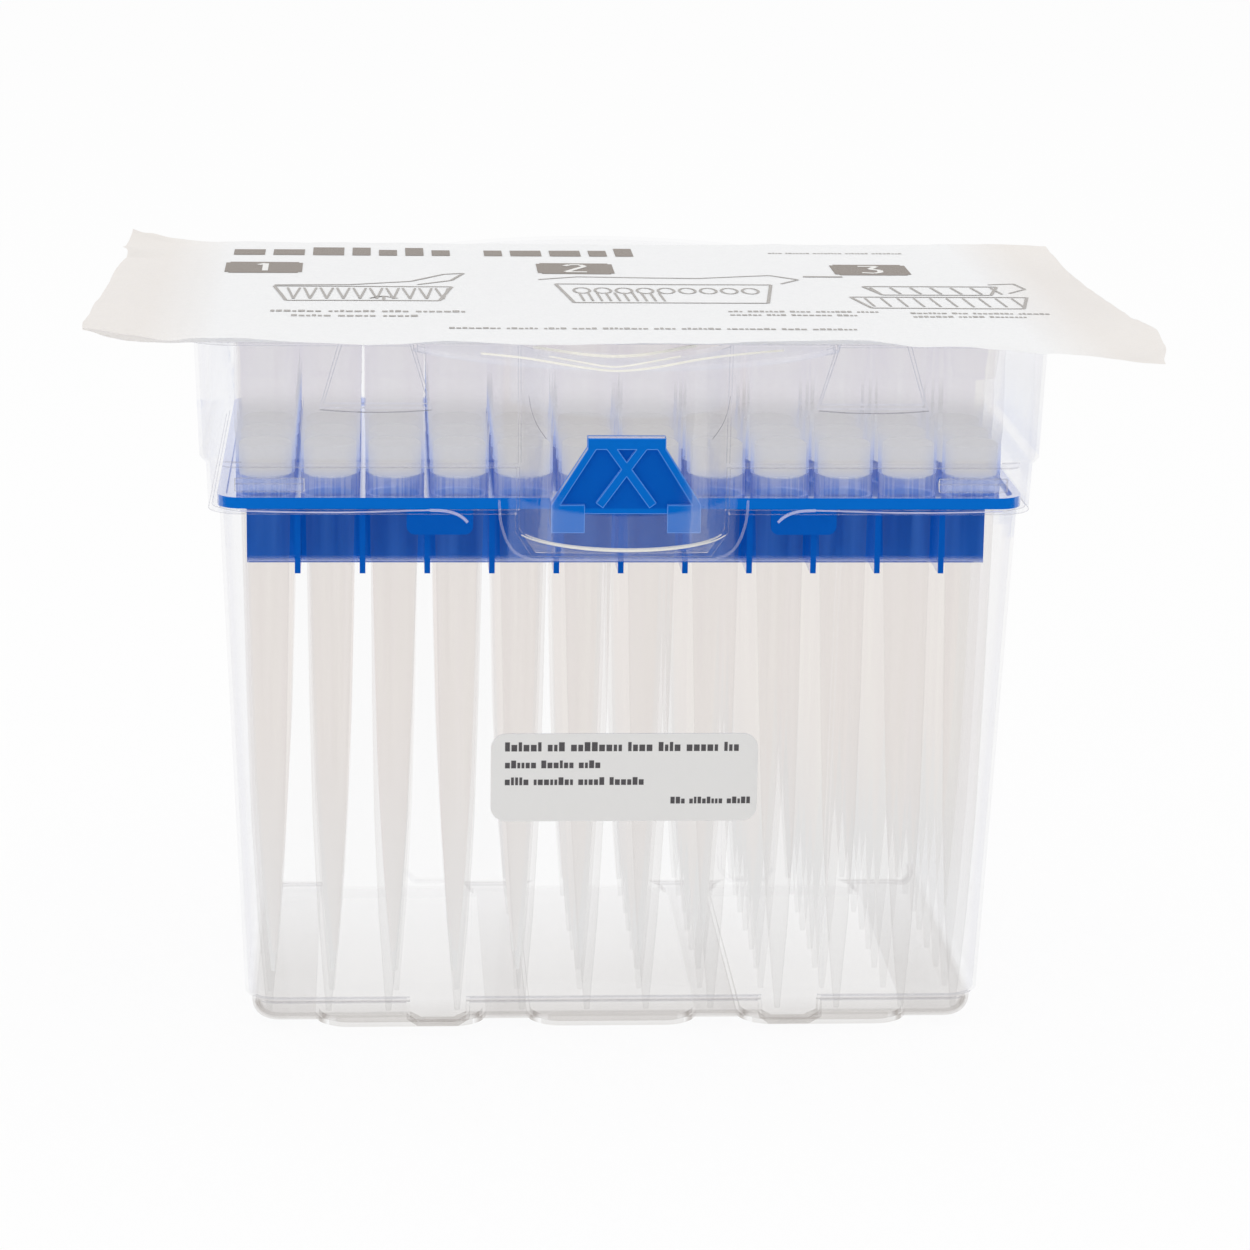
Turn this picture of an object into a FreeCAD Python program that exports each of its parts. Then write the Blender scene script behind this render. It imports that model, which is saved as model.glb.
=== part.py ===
"""A refill box of pipette tips: a clear thermoformed tray with a blue tip rack, 96 filter tips and a
sealed peel film. Millimetres, +Z up, origin under the middle of the tray at the plane its feet stand on.
The long side runs along X, and the labelled front faces -Y."""

import FreeCAD, Part
import math
import os

import Sketcher

SIZES = {
    # the grid of tips
    "pitch": 9.0,
    "columns": 12,
    "rows": 8,
    # heights over the plane of the feet
    "foot_drop": 0.8,
    "toe_height": 4.0,
    "ledge_height": 77.35,
    "band_height": 6.05,
    "tray_height": 101.5,
    # the tray's walls, as margins outside the centres of the outer tips
    "wall": 0.5,
    "toe_margin": 2.5,
    "toe_step": 1.0,
    "toe_corner": 4.0,
    "base_fillet": 2.6,
    "side_corner": 5.0,
    "band_draft": 0.3,
    "shoulder_step": 0.9,
    "upper_draft": 0.6,
    "upper_corner": 6.0,
    "flange_width": 2.0,
    # three hollow feet across the floor
    "foot_pitch": 30.6,
    "foot_width": 24.7,
    "foot_setback": 1.0,
    "foot_corner": 5.0,
    # bulges that leave room for the rack's handles
    "bulge_half": 15.3,
    "bulge_ease": 0.15,
    "bulge_reach": 14.0,
    "bulge_draft": 0.5,
    "bulge_depth": 3.35,
    "bulge_slope": 3.5,
    "bulge_sill": 12.5,
    "bulge_sill_reach": 1.0,
    "lobe_half": 29.0,
    "lobe_reach": 15.0,
    "lip_drop": 0.7,
    # grooves down the long walls, one for each tab
    "tab_spacing": 25.3,
    "groove_foot_half": 4.5,
    "groove_foot_margin": 5.2,
    "groove_chamfer": 1.6,
    # stacking lugs on the upper walls
    "lug_spacing": 34.1,
    "lug_foot_half": 7.65,
    "lug_head_half": 5.0,
    "lug_height": 9.4,
    "lug_depth": 0.9,
    # ridges over the rim that snap the rack down
    "ridge_spacing": 48.75,
    "ridge_half": 4.75,
    "ridge_lift": 2.5,
    "ridge_height": 2.1,
    "ridge_depth": 0.8,
    # the rack
    "rim_margin": 6.6,
    "rim_corner": 3.5,
    "rim_width": 1.2,
    "rim_height": 1.55,
    "deck": 0.95,
    "rack_gap": 0.7,
    "bearing": 0.7,
    "rib": 0.8,
    "row_rib_drop": 10.05,
    "row_rib_setback": 3.8,
    "column_rib_drop": 9.65,
    "column_rib_setback": 2.1,
    "tab_half": 4.6,
    "tab_drop": 3.65,
    "tab_corner": 1.2,
    "tab_gap": 0.3,
    # the rack's handles
    "handle_bulge_gap": 5.6,
    "handle_side_gap": 5.1,
    "handle_web": 1.2,
    "handle_frame": 0.8,
    "handle_top_half": 5.3,
    "handle_height": 11.55,
    "handle_bar": 1.5,
    "handle_skirt": 2.25,
    "handle_arm": 4.5,
    "handle_arm_drop": 1.55,
    "brace_width": 1.1,
    "brace_angle": 36.0,
    "brace_cross": 7.25,
    # the tips
    "barrel_gap": 0.5,
    "shoulder": 0.4,
    "shoulder_drop": 1.3,
    "collar_height": 7.5,
    "seat": 0.4,
    "hole_gap": 0.15,
    "tip_head_gap": 1.5,
    "tip_floor_gap": 0.7,
    "body_drop": 30.0,
    "body_taper": 0.6,
    "cone_length": 29.0,
    "cone_taper": 0.475,
    "nose_length": 14.0,
    "nose_taper": 0.825,
    "end_radius": 0.4,
    "orifice_radius": 0.2,
    "tip_wall": 0.45,
    "socket_wall": 0.7,
    # the filters
    "filter_lift": 2.6,
    "filter_length": 4.8,
    # the printed film and the label
    "film_thickness": 0.3,
    "film_overhang_x": 12.6,
    "film_overhang_front": 9.9,
    "film_overhang_rear": 4.9,
    "film_corner": 1.5,
    "label_width": 37.8,
    "label_height": 13.0,
    "label_corner": 2.2,
    "label_thickness": 0.15,
    "label_gap": 0.1,
    "label_lift": 38.2,
}


def named(expression):
    """Write the sheet's name before each size in an expression."""
    words = []
    for word in expression.replace("(", "( ").replace(")", " )").split():
        sign = "-" if word.startswith("-") and word[1:] in SIZES else ""
        name = word[len(sign):]
        words.append(f"{sign}sizes.{name}" if name in SIZES else word)
    return " ".join(words)


# Places that several pieces share
GRID_X = "pitch * ( columns - 1 ) / 2"
GRID_Y = "pitch * ( rows - 1 ) / 2"
DECK_TOP = "( ledge_height + deck )"
LEDGE_BOTTOM = "( ledge_height - wall )"
LEDGE_MARGIN = "( rim_margin - bearing + wall )"
BAND_MARGIN = "( rim_margin + rack_gap + wall )"
SHOULDER_MARGIN = f"( {BAND_MARGIN} + band_draft + shoulder_step )"
TOP_MARGIN = f"( {SHOULDER_MARGIN} + upper_draft )"
FLANGE_MARGIN = f"( {TOP_MARGIN} + flange_width )"
BARREL_RADIUS = "( ( pitch - barrel_gap ) / 2 )"
COLLAR_RADIUS = f"( {BARREL_RADIUS} - shoulder )"
NECK_RADIUS = f"( {COLLAR_RADIUS} - seat )"
BORE_RADIUS = f"( {NECK_RADIUS} - tip_wall )"

document = FreeCAD.newDocument("pipette_tip_box")
sheet = document.addObject("Spreadsheet::Sheet", "sizes")
for row, (name, value) in enumerate(SIZES.items(), start=1):
    sheet.set(f"A{row}", name)
    sheet.set(f"B{row}", str(value))
    sheet.setAlias(f"B{row}", name)
document.recompute()


def amount(expression):
    """The value that an expression has now."""
    return sheet.evalExpression(named(expression))


def bind(thing, **expressions):
    for name, expression in expressions.items():
        thing.setExpression(name.replace("__", "."), named(expression))


def new_body(label, **placement):
    body = document.addObject("PartDesign::Body", label)
    body.Label = label
    bind(body, **placement)
    return body


def origin_of(body, role):
    return next(item for item in body.Origin.OriginFeatures if item.Role == role)


def outline(body, name, plane, points, lift="0", radii=None, turn=None):
    """Sketch a closed outline, anticlockwise. radii gives the edges that are arcs, and lift the
    sketch's distance from its origin plane along that plane's normal."""
    radii = radii or {}
    sketch = body.newObject("Sketcher::SketchObject", name)
    sketch.AttachmentSupport = [(origin_of(body, plane), "")]
    sketch.MapMode = "FlatFace"
    bind(sketch, AttachmentOffset__Base__z=lift)
    if turn:
        bind(sketch, **turn)
    corners = [FreeCAD.Vector(amount(x), amount(y), 0) for x, y in points]
    count = len(corners)
    for edge, start in enumerate(corners):
        end = corners[(edge + 1) % count]
        if edge in radii:
            radius = amount(radii[edge])
            chord = end - start
            sagitta = radius - math.sqrt(max(radius ** 2 - chord.Length ** 2 / 4, 0))
            outward = FreeCAD.Vector(chord.y, -chord.x, 0).normalize()
            sketch.addGeometry(Part.Arc(start, (start + end) / 2 + outward * sagitta, end))
        else:
            sketch.addGeometry(Part.LineSegment(start, end))

    def constrain(kind, expression, *where):
        number = sketch.addConstraint(Sketcher.Constraint(kind, *where, amount(expression)))
        sketch.setExpression(f"Constraints[{number}]", named(expression))

    for edge, (x, y) in enumerate(points):
        sketch.addConstraint(Sketcher.Constraint("Coincident", edge, 2, (edge + 1) % count, 1))
        constrain("DistanceX", x, -1, 1, edge, 1)
        constrain("DistanceY", y, -1, 1, edge, 1)
        if edge in radii:
            constrain("Radius", radii[edge], edge)
    return sketch


def rectangle(body, name, plane, left, right, low, high, lift="0", turn=None):
    points = [(left, low), (right, low), (right, high), (left, high)]
    return outline(body, name, plane, points, lift, turn=turn)


def rounded_rectangle(body, name, half_x, half_y, radius, lift="0", middle="0"):
    """A rounded rectangle on the XY plane, with its middle at a place along X."""
    radius = f"( {radius} )"
    right = f"{middle} + ( {half_x} )"
    left = f"{middle} - ( {half_x} )"
    points = [
        (f"{right} - {radius}", f"-1 * ( {half_y} )"),
        (right, f"-1 * ( {half_y} ) + {radius}"),
        (right, f"{half_y} - {radius}"),
        (f"{right} - {radius}", half_y),
        (f"{left} + {radius}", half_y),
        (left, f"{half_y} - {radius}"),
        (left, f"-1 * ( {half_y} ) + {radius}"),
        (f"{left} + {radius}", f"-1 * ( {half_y} )"),
    ]
    return outline(body, name, "XY_Plane", points, lift, {0: radius, 2: radius, 4: radius, 6: radius})


def disc(body, name, radius, lift, x="0", y="0"):
    """A circle on the XY plane."""
    sketch = body.newObject("Sketcher::SketchObject", name)
    sketch.AttachmentSupport = [(origin_of(body, "XY_Plane"), "")]
    sketch.MapMode = "FlatFace"
    bind(sketch, AttachmentOffset__Base__z=lift)
    middle = FreeCAD.Vector(amount(x), amount(y), 0)
    sketch.addGeometry(Part.Circle(middle, FreeCAD.Vector(0, 0, 1), amount(radius)))
    for kind, expression, where in (("DistanceX", x, (-1, 1, 0, 3)), ("DistanceY", y, (-1, 1, 0, 3)),
                                    ("Radius", radius, (0,))):
        number = sketch.addConstraint(Sketcher.Constraint(kind, *where, amount(expression)))
        sketch.setExpression(f"Constraints[{number}]", named(expression))
    return sketch


def around_grid(body, name, margin, radius, lift):
    """A rounded rectangle that lies a margin outside the centres of the outer tips."""
    half_x = f"{GRID_X} + {margin}"
    half_y = f"{GRID_Y} + {margin}"
    return rounded_rectangle(body, name, half_x, half_y, radius, lift)


def loft(body, name, sketches, remove=False):
    kind = "PartDesign::SubtractiveLoft" if remove else "PartDesign::AdditiveLoft"
    feature = body.newObject(kind, name)
    feature.Profile = sketches[0]
    feature.Sections = sketches[1:]
    feature.Ruled = True
    return feature


def pad(body, name, sketch, length, backward=False):
    feature = body.newObject("PartDesign::Pad", name)
    feature.Profile = sketch
    feature.Reversed = backward
    bind(feature, Length=length)
    return feature


def pocket(body, name, sketch, length, forward=False):
    """Cut against the sketch's normal, or along it if forward, and check that something was cut."""
    document.recompute()
    before = body.Shape.Volume
    feature = body.newObject("PartDesign::Pocket", name)
    feature.Profile = sketch
    feature.Reversed = forward
    bind(feature, Length=length)
    document.recompute()
    if body.Shape.Volume >= before:
        raise RuntimeError(f"{name} cuts nothing")
    return feature


def mirrored(body, name, plane, originals):
    feature = body.newObject("PartDesign::Mirrored", name)
    feature.Originals = originals
    feature.MirrorPlane = (origin_of(body, plane), [""])
    body.Tip = feature
    return feature


def two_way(body, name, original):
    """Copy the feature at the first tip to the whole grid."""
    feature = body.newObject("PartDesign::LinearPattern", name)
    feature.Originals = [original]
    feature.Direction = (origin_of(body, "X_Axis"), [""])
    feature.Direction2 = (origin_of(body, "Y_Axis"), [""])
    bind(feature, Length="pitch * ( columns - 1 )", Occurrences="columns")
    bind(feature, Length2="pitch * ( rows - 1 )", Occurrences2="rows")
    body.Tip = feature
    return feature


def four_ways(body, name, originals):
    """Copy front right features to the left and to the rear."""
    feature = body.newObject("PartDesign::MultiTransform", name)
    feature.Originals = originals
    mirrors = []
    for plane in ("YZ_Plane", "XZ_Plane"):
        mirror = body.newObject("PartDesign::Mirrored", f"{name}_{plane[:2]}")
        mirror.MirrorPlane = (origin_of(body, plane), [""])
        mirrors.append(mirror)
    feature.Transformations = mirrors
    body.Tip = feature
    return feature


def repeated(body, name, axis, original, spacing, count):
    feature = body.newObject("PartDesign::LinearPattern", name)
    feature.Originals = [original]
    feature.Direction = (origin_of(body, axis), [""])
    bind(feature, Length=f"{spacing} * ( {count} - 1 )", Occurrences=count)
    body.Tip = feature
    return feature


def fillet_rim(body, name, level, radius):
    """Round the edges that lie at one level of the shape made so far."""
    document.recompute()
    base = body.Tip
    height = amount(level)
    edges = []
    for number, edge in enumerate(base.Shape.Edges, start=1):
        if all(abs(vertex.Z - height) < 0.01 for vertex in edge.Vertexes):
            edges.append(f"Edge{number}")
    feature = body.newObject("PartDesign::Fillet", name)
    feature.Base = (base, edges)
    bind(feature, Radius=radius)
    return feature


# %% The tray

def wall_loft(body, inset):
    """The drafted walls below the ledge."""
    sections = [
        ("floor", f"toe_margin - {inset}", f"toe_corner - {inset}", f"foot_drop + {inset}"),
        ("toe", f"toe_margin - {inset}", f"toe_corner - {inset}", "toe_height"),
        ("toe_top", f"toe_margin + toe_step - {inset}", f"side_corner - {inset}", "toe_height + toe_step"),
        ("ledge", f"{LEDGE_MARGIN} - {inset}", f"side_corner - {inset}", f"{LEDGE_BOTTOM} + {inset}"),
    ]
    return loft(body, "walls", [around_grid(body, *section) for section in sections])


def rim_loft(body, inset, top):
    """The band round the rack, the shoulder and the upper walls."""
    band_corner = f"rim_corner + rack_gap + wall - {inset}"
    band_top = "ledge_height + band_height"
    sections = [
        ("band", f"{BAND_MARGIN} - {inset}", band_corner, f"{LEDGE_BOTTOM} + {inset}"),
        ("band_top", f"{BAND_MARGIN} + band_draft - {inset}", band_corner, band_top),
        ("shoulder", f"{SHOULDER_MARGIN} - {inset}", f"upper_corner - {inset}",
         f"{band_top} + shoulder_step"),
        ("rim", f"{TOP_MARGIN} - {inset}", f"upper_corner - {inset}", top),
    ]
    return loft(body, "upper_walls", [around_grid(body, *section) for section in sections])


def bulge_outline(body, name, half_width, reach, radius, lift):
    """Straight sides from inside the tray to its long wall, closed by an arc in front."""
    front = f"-1 * ( {GRID_Y} + {LEDGE_MARGIN} + {reach} )"
    chord = f"{front} + {radius} - sqrt( ( {radius} ) ^ 2 - ( {half_width} ) ^ 2 )"
    points = [
        (f"-1 * ( {half_width} )", chord),
        (half_width, chord),
        (half_width, f"-1 * {GRID_Y}"),
        (f"-1 * ( {half_width} )", f"-1 * {GRID_Y}"),
    ]
    return outline(body, name, "XY_Plane", points, lift, {0: radius})


def bulge_loft(body, inset, top):
    """The front bulge: its underside slopes out from a narrow sill at the wall."""
    sill_radius = "( ( bulge_sill ^ 2 + bulge_sill_reach ^ 2 ) / ( 2 * bulge_sill_reach ) )"
    floor = f"ledge_height - bulge_depth + {inset}"
    floor_half = f"bulge_half - bulge_draft - {inset}"
    top_half = f"bulge_half - {inset}"
    sketches = [
        bulge_outline(body, "bulge_sill_outline", f"bulge_sill - {inset}", f"bulge_sill_reach - {inset}",
                      sill_radius, f"{floor} - bulge_slope"),
        bulge_outline(body, "bulge_floor", floor_half, f"bulge_reach - bulge_draft - {inset}",
                      f"( {floor_half} + bulge_ease )", floor),
        bulge_outline(body, "bulge_top", top_half, f"bulge_reach - {inset}",
                      f"( {top_half} + bulge_ease )", top),
    ]
    return loft(body, "bulge", sketches)


def groove_outline(body, name, half, margin, lift):
    left = f"tab_spacing - ( {half} )"
    right = f"tab_spacing + {half}"
    return rectangle(body, name, "XY_Plane", left, right, f"-1 * ( {GRID_Y} + {margin} )",
                     f"-1 * {GRID_Y}", lift)


def groove_loft(body, inset):
    """The front right groove: an outward rib with a chamfered foot and room for a tab at its head."""
    foot_half = f"groove_foot_half - {inset}"
    foot_margin = f"groove_foot_margin - {inset}"
    sketches = [
        groove_outline(body, "groove_floor", f"{foot_half} - groove_chamfer",
                       f"{foot_margin} - groove_chamfer", f"foot_drop + {inset}"),
        groove_outline(body, "groove_foot", foot_half, foot_margin, "foot_drop + groove_chamfer"),
        groove_outline(body, "groove_head", f"tab_half + tab_gap + wall - {inset}",
                       f"rim_margin + tab_gap + wall - {inset}", f"{LEDGE_BOTTOM} + {inset}"),
    ]
    return loft(body, "groove", sketches)


def lug_pad(body, inset):
    """The front right stacking lug: a trapezoid that stands out from the upper wall."""
    foot = f"tray_height - lug_height + {inset}"
    head = "tray_height - wall / 2"
    points = [
        (f"lug_spacing - lug_foot_half + {inset}", foot),
        (f"lug_spacing + lug_foot_half - {inset}", foot),
        (f"lug_spacing + lug_head_half - {inset}", head),
        (f"lug_spacing - lug_head_half + {inset}", head),
    ]
    face = f"{GRID_Y} + {SHOULDER_MARGIN} + lug_depth - {inset}"
    sketch = outline(body, "lug_outline", "XZ_Plane", points, face)
    return pad(body, "lug", sketch, "lug_depth + wall", backward=True)


def ridge_pocket(body, inset):
    """The front right dent over the rack's rim; inside the tray it is a ridge."""
    low = "ledge_height + ridge_lift"
    face = f"-1 * ( {GRID_Y} + {BAND_MARGIN} + band_draft - {inset} )"
    points = [
        (face, low),
        (f"{face} + band_draft + ridge_depth", f"{low} + ridge_height / 2"),
        (face, f"{low} + ridge_height"),
    ]
    sketch = outline(body, "ridge_outline", "YZ_Plane", points, "ridge_spacing - ridge_half")
    return pocket(body, "ridge", sketch, "2 * ridge_half", forward=True)


def foot_pad(body, inset):
    """The left foot, as deep as the floor; its pattern makes the other two."""
    half_y = f"{GRID_Y} + toe_margin - foot_setback - {inset}"
    sketch = rounded_rectangle(body, "foot_outline", f"foot_width / 2 - {inset}", half_y,
                               f"foot_corner - {inset}", inset, middle="-1 * foot_pitch")
    return pad(body, "foot", sketch, "foot_drop + base_fillet")


def lobe_outline(body, name, inset, lift):
    """The front pull lobe of the flange, an arc that covers the bulge."""
    edge = f"-1 * ( {GRID_Y} + {FLANGE_MARGIN} )"
    half = f"( lobe_half - {inset} )"
    radius = f"( lobe_half ^ 2 + lobe_reach ^ 2 ) / ( 2 * lobe_reach ) - {inset}"
    points = [
        (f"-1 * {half}", edge),
        (half, edge),
        (half, f"-1 * {GRID_Y}"),
        (f"-1 * {half}", f"-1 * {GRID_Y}"),
    ]
    return outline(body, name, "XY_Plane", points, lift, {0: radius})


def flange_pads(body):
    """The sealing flange, with a lobe at each bulge whose edge is turned down."""
    bottom = "tray_height - wall"
    flange = around_grid(body, "flange_outline", FLANGE_MARGIN, "upper_corner + flange_width", bottom)
    pad(body, "flange", flange, "wall")
    lip_bottom = f"{bottom} - lip_drop"
    lobe = pad(body, "lobe", lobe_outline(body, "lobe_outline", "0", lip_bottom), "wall + lip_drop")
    mirrored(body, "lobes", "XZ_Plane", [lobe])
    hollow_outline = lobe_outline(body, "lobe_hollow_outline", "wall", lip_bottom)
    hollow = pocket(body, "lobe_hollow", hollow_outline, "lip_drop", forward=True)
    mirrored(body, "lobe_hollows", "XZ_Plane", [hollow])


def tray_form(label, inset, top):
    """The outside of the tray, or with the wall as its inset, the space inside it."""
    body = new_body(label)
    if inset == "0":
        flange_pads(body)
    rim_loft(body, inset, top)
    wall_loft(body, inset)
    fillet_rim(body, "base_round", f"foot_drop + {inset}", f"base_fillet - {inset}")
    bulge = bulge_loft(body, inset, top)
    mirrored(body, "bulges", "XZ_Plane", [bulge])
    groove = groove_loft(body, inset)
    lug = lug_pad(body, inset)
    four_ways(body, "side_forms", [groove, lug])
    ridge = ridge_pocket(body, inset)
    four_ways(body, "ridges", [ridge])
    foot = foot_pad(body, inset)
    repeated(body, "feet", "X_Axis", foot, "foot_pitch", "3")
    return body


def make_tray():
    tray = document.addObject("Part::Cut", "tray")
    tray.Label = "tray"
    tray.Base = tray_form("tray_outside", "0", "tray_height - wall")
    tray.Tool = tray_form("tray_inside", "wall", "tray_height + wall")
    return tray


# %% The tip rack, with the plane of its rim's underside at the tray's ledge

def rib_grid(body):
    """Thin ribs below the deck, midway between the rows and between the columns of tips."""
    row_half = f"( {GRID_X} + rim_margin - row_rib_setback )"
    column_half = f"( {GRID_Y} + rim_margin - column_rib_setback )"
    row = rectangle(body, "row_rib_outline", "XY_Plane", f"-1 * {row_half}", row_half,
                    f"pitch - {GRID_Y} - pitch / 2 - rib / 2", f"pitch - {GRID_Y} - pitch / 2 + rib / 2",
                    "-1 * row_rib_drop")
    row_rib = pad(body, "row_rib", row, "row_rib_drop + deck / 2")
    repeated(body, "row_ribs", "Y_Axis", row_rib, "pitch", "( rows - 1 )")
    column = rectangle(body, "column_rib_outline", "XY_Plane",
                       f"pitch - {GRID_X} - pitch / 2 - rib / 2", f"pitch - {GRID_X} - pitch / 2 + rib / 2",
                       f"-1 * {column_half}", column_half, "-1 * column_rib_drop")
    column_rib = pad(body, "column_rib", column, "column_rib_drop + deck / 2")
    repeated(body, "column_ribs", "X_Axis", column_rib, "pitch", "( columns - 1 )")


def tab_pad(body):
    """The front right tab, which hangs from the rim into a groove of the tray."""
    points = [
        ("tab_spacing - tab_half + tab_corner", "-1 * tab_drop"),
        ("tab_spacing + tab_half - tab_corner", "-1 * tab_drop"),
        ("tab_spacing + tab_half", "-1 * tab_drop + tab_corner"),
        ("tab_spacing + tab_half", "deck / 2"),
        ("tab_spacing - tab_half", "deck / 2"),
        ("tab_spacing - tab_half", "-1 * tab_drop + tab_corner"),
    ]
    face = f"{GRID_Y} + rim_margin - rib"
    sketch = outline(body, "tab_outline", "XZ_Plane", points, face, {1: "tab_corner", 5: "tab_corner"})
    return pad(body, "tab", sketch, "rib")


def handle_pads(body):
    """The front handle: a tapered panel with a bar, braces and two arms that join it to the rim."""
    wall_line = f"{GRID_Y} + {LEDGE_MARGIN}"
    back = f"{wall_line} + bulge_reach - handle_bulge_gap - handle_frame - handle_web"
    front = f"{back} + handle_web"
    foot_half = "( bulge_half - handle_side_gap )"
    bar_foot = "( handle_height - handle_bar )"

    panel = outline(body, "panel_outline", "XZ_Plane", [
        (f"-1 * {foot_half}", "deck"),
        (foot_half, "deck"),
        (foot_half, "handle_skirt"),
        ("handle_top_half", bar_foot),
        ("handle_top_half", "handle_height"),
        ("-1 * handle_top_half", "handle_height"),
        ("-1 * handle_top_half", bar_foot),
        (f"-1 * {foot_half}", "handle_skirt"),
    ], back)
    pads = [pad(body, "panel", panel, "handle_web")]

    bar = rectangle(body, "bar_outline", "XZ_Plane", "-1 * handle_top_half", "handle_top_half",
                    bar_foot, "handle_height", front)
    pads.append(pad(body, "bar", bar, "handle_frame"))

    for side, sign in (("left", "-1 *"), ("right", "1 *")):
        edge = [
            (f"{sign} {foot_half}", "handle_skirt"),
            (f"{sign} handle_top_half", bar_foot),
            (f"{sign} ( handle_top_half - brace_width )", bar_foot),
            (f"{sign} ( {foot_half} - brace_width )", "handle_skirt"),
        ]
        if side == "left":
            edge.reverse()
        stile = outline(body, f"{side}_stile_outline", "XZ_Plane", edge, front)
        pads.append(pad(body, f"{side}_stile", stile, "handle_frame"))

        inner = f"{sign} ( {foot_half} - handle_arm )"
        outer = f"{sign} {foot_half}"
        near, far = (outer, inner) if side == "left" else (inner, outer)
        root = f"{GRID_Y} + rim_margin - rim_width"
        arm = rectangle(body, f"{side}_arm_outline", "XZ_Plane", near, far, "-1 * handle_arm_drop",
                        "handle_skirt", root)
        pads.append(pad(body, f"{side}_arm", arm, f"{front} + handle_frame - ( {root} )"))

        turn = {"AttachmentOffset__Base__y": "brace_cross",
                "AttachmentOffset__Rotation__Angle": f"{sign} brace_angle"}
        down = "-1 * ( brace_cross - handle_skirt ) / cos( brace_angle * 1 deg )"
        up = "( handle_height - handle_bar / 2 - brace_cross ) / cos( brace_angle * 1 deg )"
        brace = rectangle(body, f"{side}_brace_outline", "XZ_Plane", "-1 * brace_width / 2",
                          "brace_width / 2", down, up, front, turn)
        pads.append(pad(body, f"{side}_brace", brace, "handle_frame"))
    return pads


def make_rack():
    body = new_body("tip_rack", Placement__Base__z="ledge_height")
    plate = around_grid(body, "plate_outline", "rim_margin", "rim_corner", "0")
    pad(body, "plate", plate, "rim_height")
    well = around_grid(body, "well_outline", "rim_margin - rim_width", "rim_corner - rim_width",
                       "rim_height")
    pocket(body, "well", well, "rim_height - deck")
    hole = disc(body, "hole_outline", f"{NECK_RADIUS} + hole_gap", "deck", f"-1 * {GRID_X}",
                f"-1 * {GRID_Y}")
    hole_pocket = pocket(body, "hole", hole, "deck")
    two_way(body, "holes", hole_pocket)
    rib_grid(body)
    four_ways(body, "tabs", [tab_pad(body)])
    mirrored(body, "handles", "XZ_Plane", handle_pads(body))
    return body


# %% The tips and their filters, a column of eight to a body

def make_tip_column(number):
    column_x = f"pitch * {number - 1} - {GRID_X}"
    body = new_body(f"tips_column_{number:02d}", Placement__Base__x=column_x,
                    Placement__Base__y=f"-1 * {GRID_Y}", Placement__Base__z=DECK_TOP)
    end = f"( foot_drop + wall + tip_floor_gap - {DECK_TOP} )"
    head = f"( tray_height - tip_head_gap - {DECK_TOP} )"
    body_radius = f"( {NECK_RADIUS} - body_taper )"
    cone_radius = f"( {body_radius} - cone_taper )"
    nose_radius = f"( {cone_radius} - nose_taper )"
    outside = [
        ("end_radius", end),
        (nose_radius, f"{end} + nose_length"),
        (cone_radius, f"{end} + cone_length"),
        (body_radius, "-1 * body_drop"),
        (NECK_RADIUS, "0"),
        (COLLAR_RADIUS, "0"),
        (COLLAR_RADIUS, "collar_height"),
        (BARREL_RADIUS, "collar_height + shoulder_drop"),
        (BARREL_RADIUS, head),
    ]
    inside = [
        (f"{BARREL_RADIUS} - socket_wall", head),
        (BORE_RADIUS, "collar_height"),
        (BORE_RADIUS, "0"),
        (f"{body_radius} - tip_wall", "-1 * body_drop"),
        (f"{cone_radius} - tip_wall", f"{end} + cone_length"),
        (f"{nose_radius} - tip_wall", f"{end} + nose_length"),
        ("orifice_radius", end),
    ]
    profile = outline(body, f"tip_profile_{number}", "XZ_Plane", outside + inside)
    tip = body.newObject("PartDesign::Revolution", f"tip_{number}")
    tip.Profile = profile
    tip.ReferenceAxis = (origin_of(body, "Z_Axis"), [""])
    tip.Angle = 360
    repeated(body, f"tips_{number}", "Y_Axis", tip, "pitch", "rows")
    return body


def make_filter_column(number):
    column_x = f"pitch * {number - 1} - {GRID_X}"
    body = new_body(f"filters_column_{number:02d}", Placement__Base__x=column_x,
                    Placement__Base__y=f"-1 * {GRID_Y}", Placement__Base__z=f"{DECK_TOP} + filter_lift")
    plug = pad(body, f"filter_{number}", disc(body, f"filter_outline_{number}", BORE_RADIUS, "0"),
               "filter_length")
    repeated(body, f"filters_{number}", "Y_Axis", plug, "pitch", "rows")
    return body


# %% The sealed film and the label

def make_film():
    body = new_body("lid_film", Placement__Base__y="( film_overhang_rear - film_overhang_front ) / 2",
                    Placement__Base__z="tray_height")
    half_x = f"{GRID_X} + {FLANGE_MARGIN} + film_overhang_x"
    half_y = f"{GRID_Y} + {FLANGE_MARGIN} + ( film_overhang_front + film_overhang_rear ) / 2"
    sheet_outline = rounded_rectangle(body, "film_outline", half_x, half_y, "film_corner")
    pad(body, "film", sheet_outline, "film_thickness")
    return body


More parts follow.
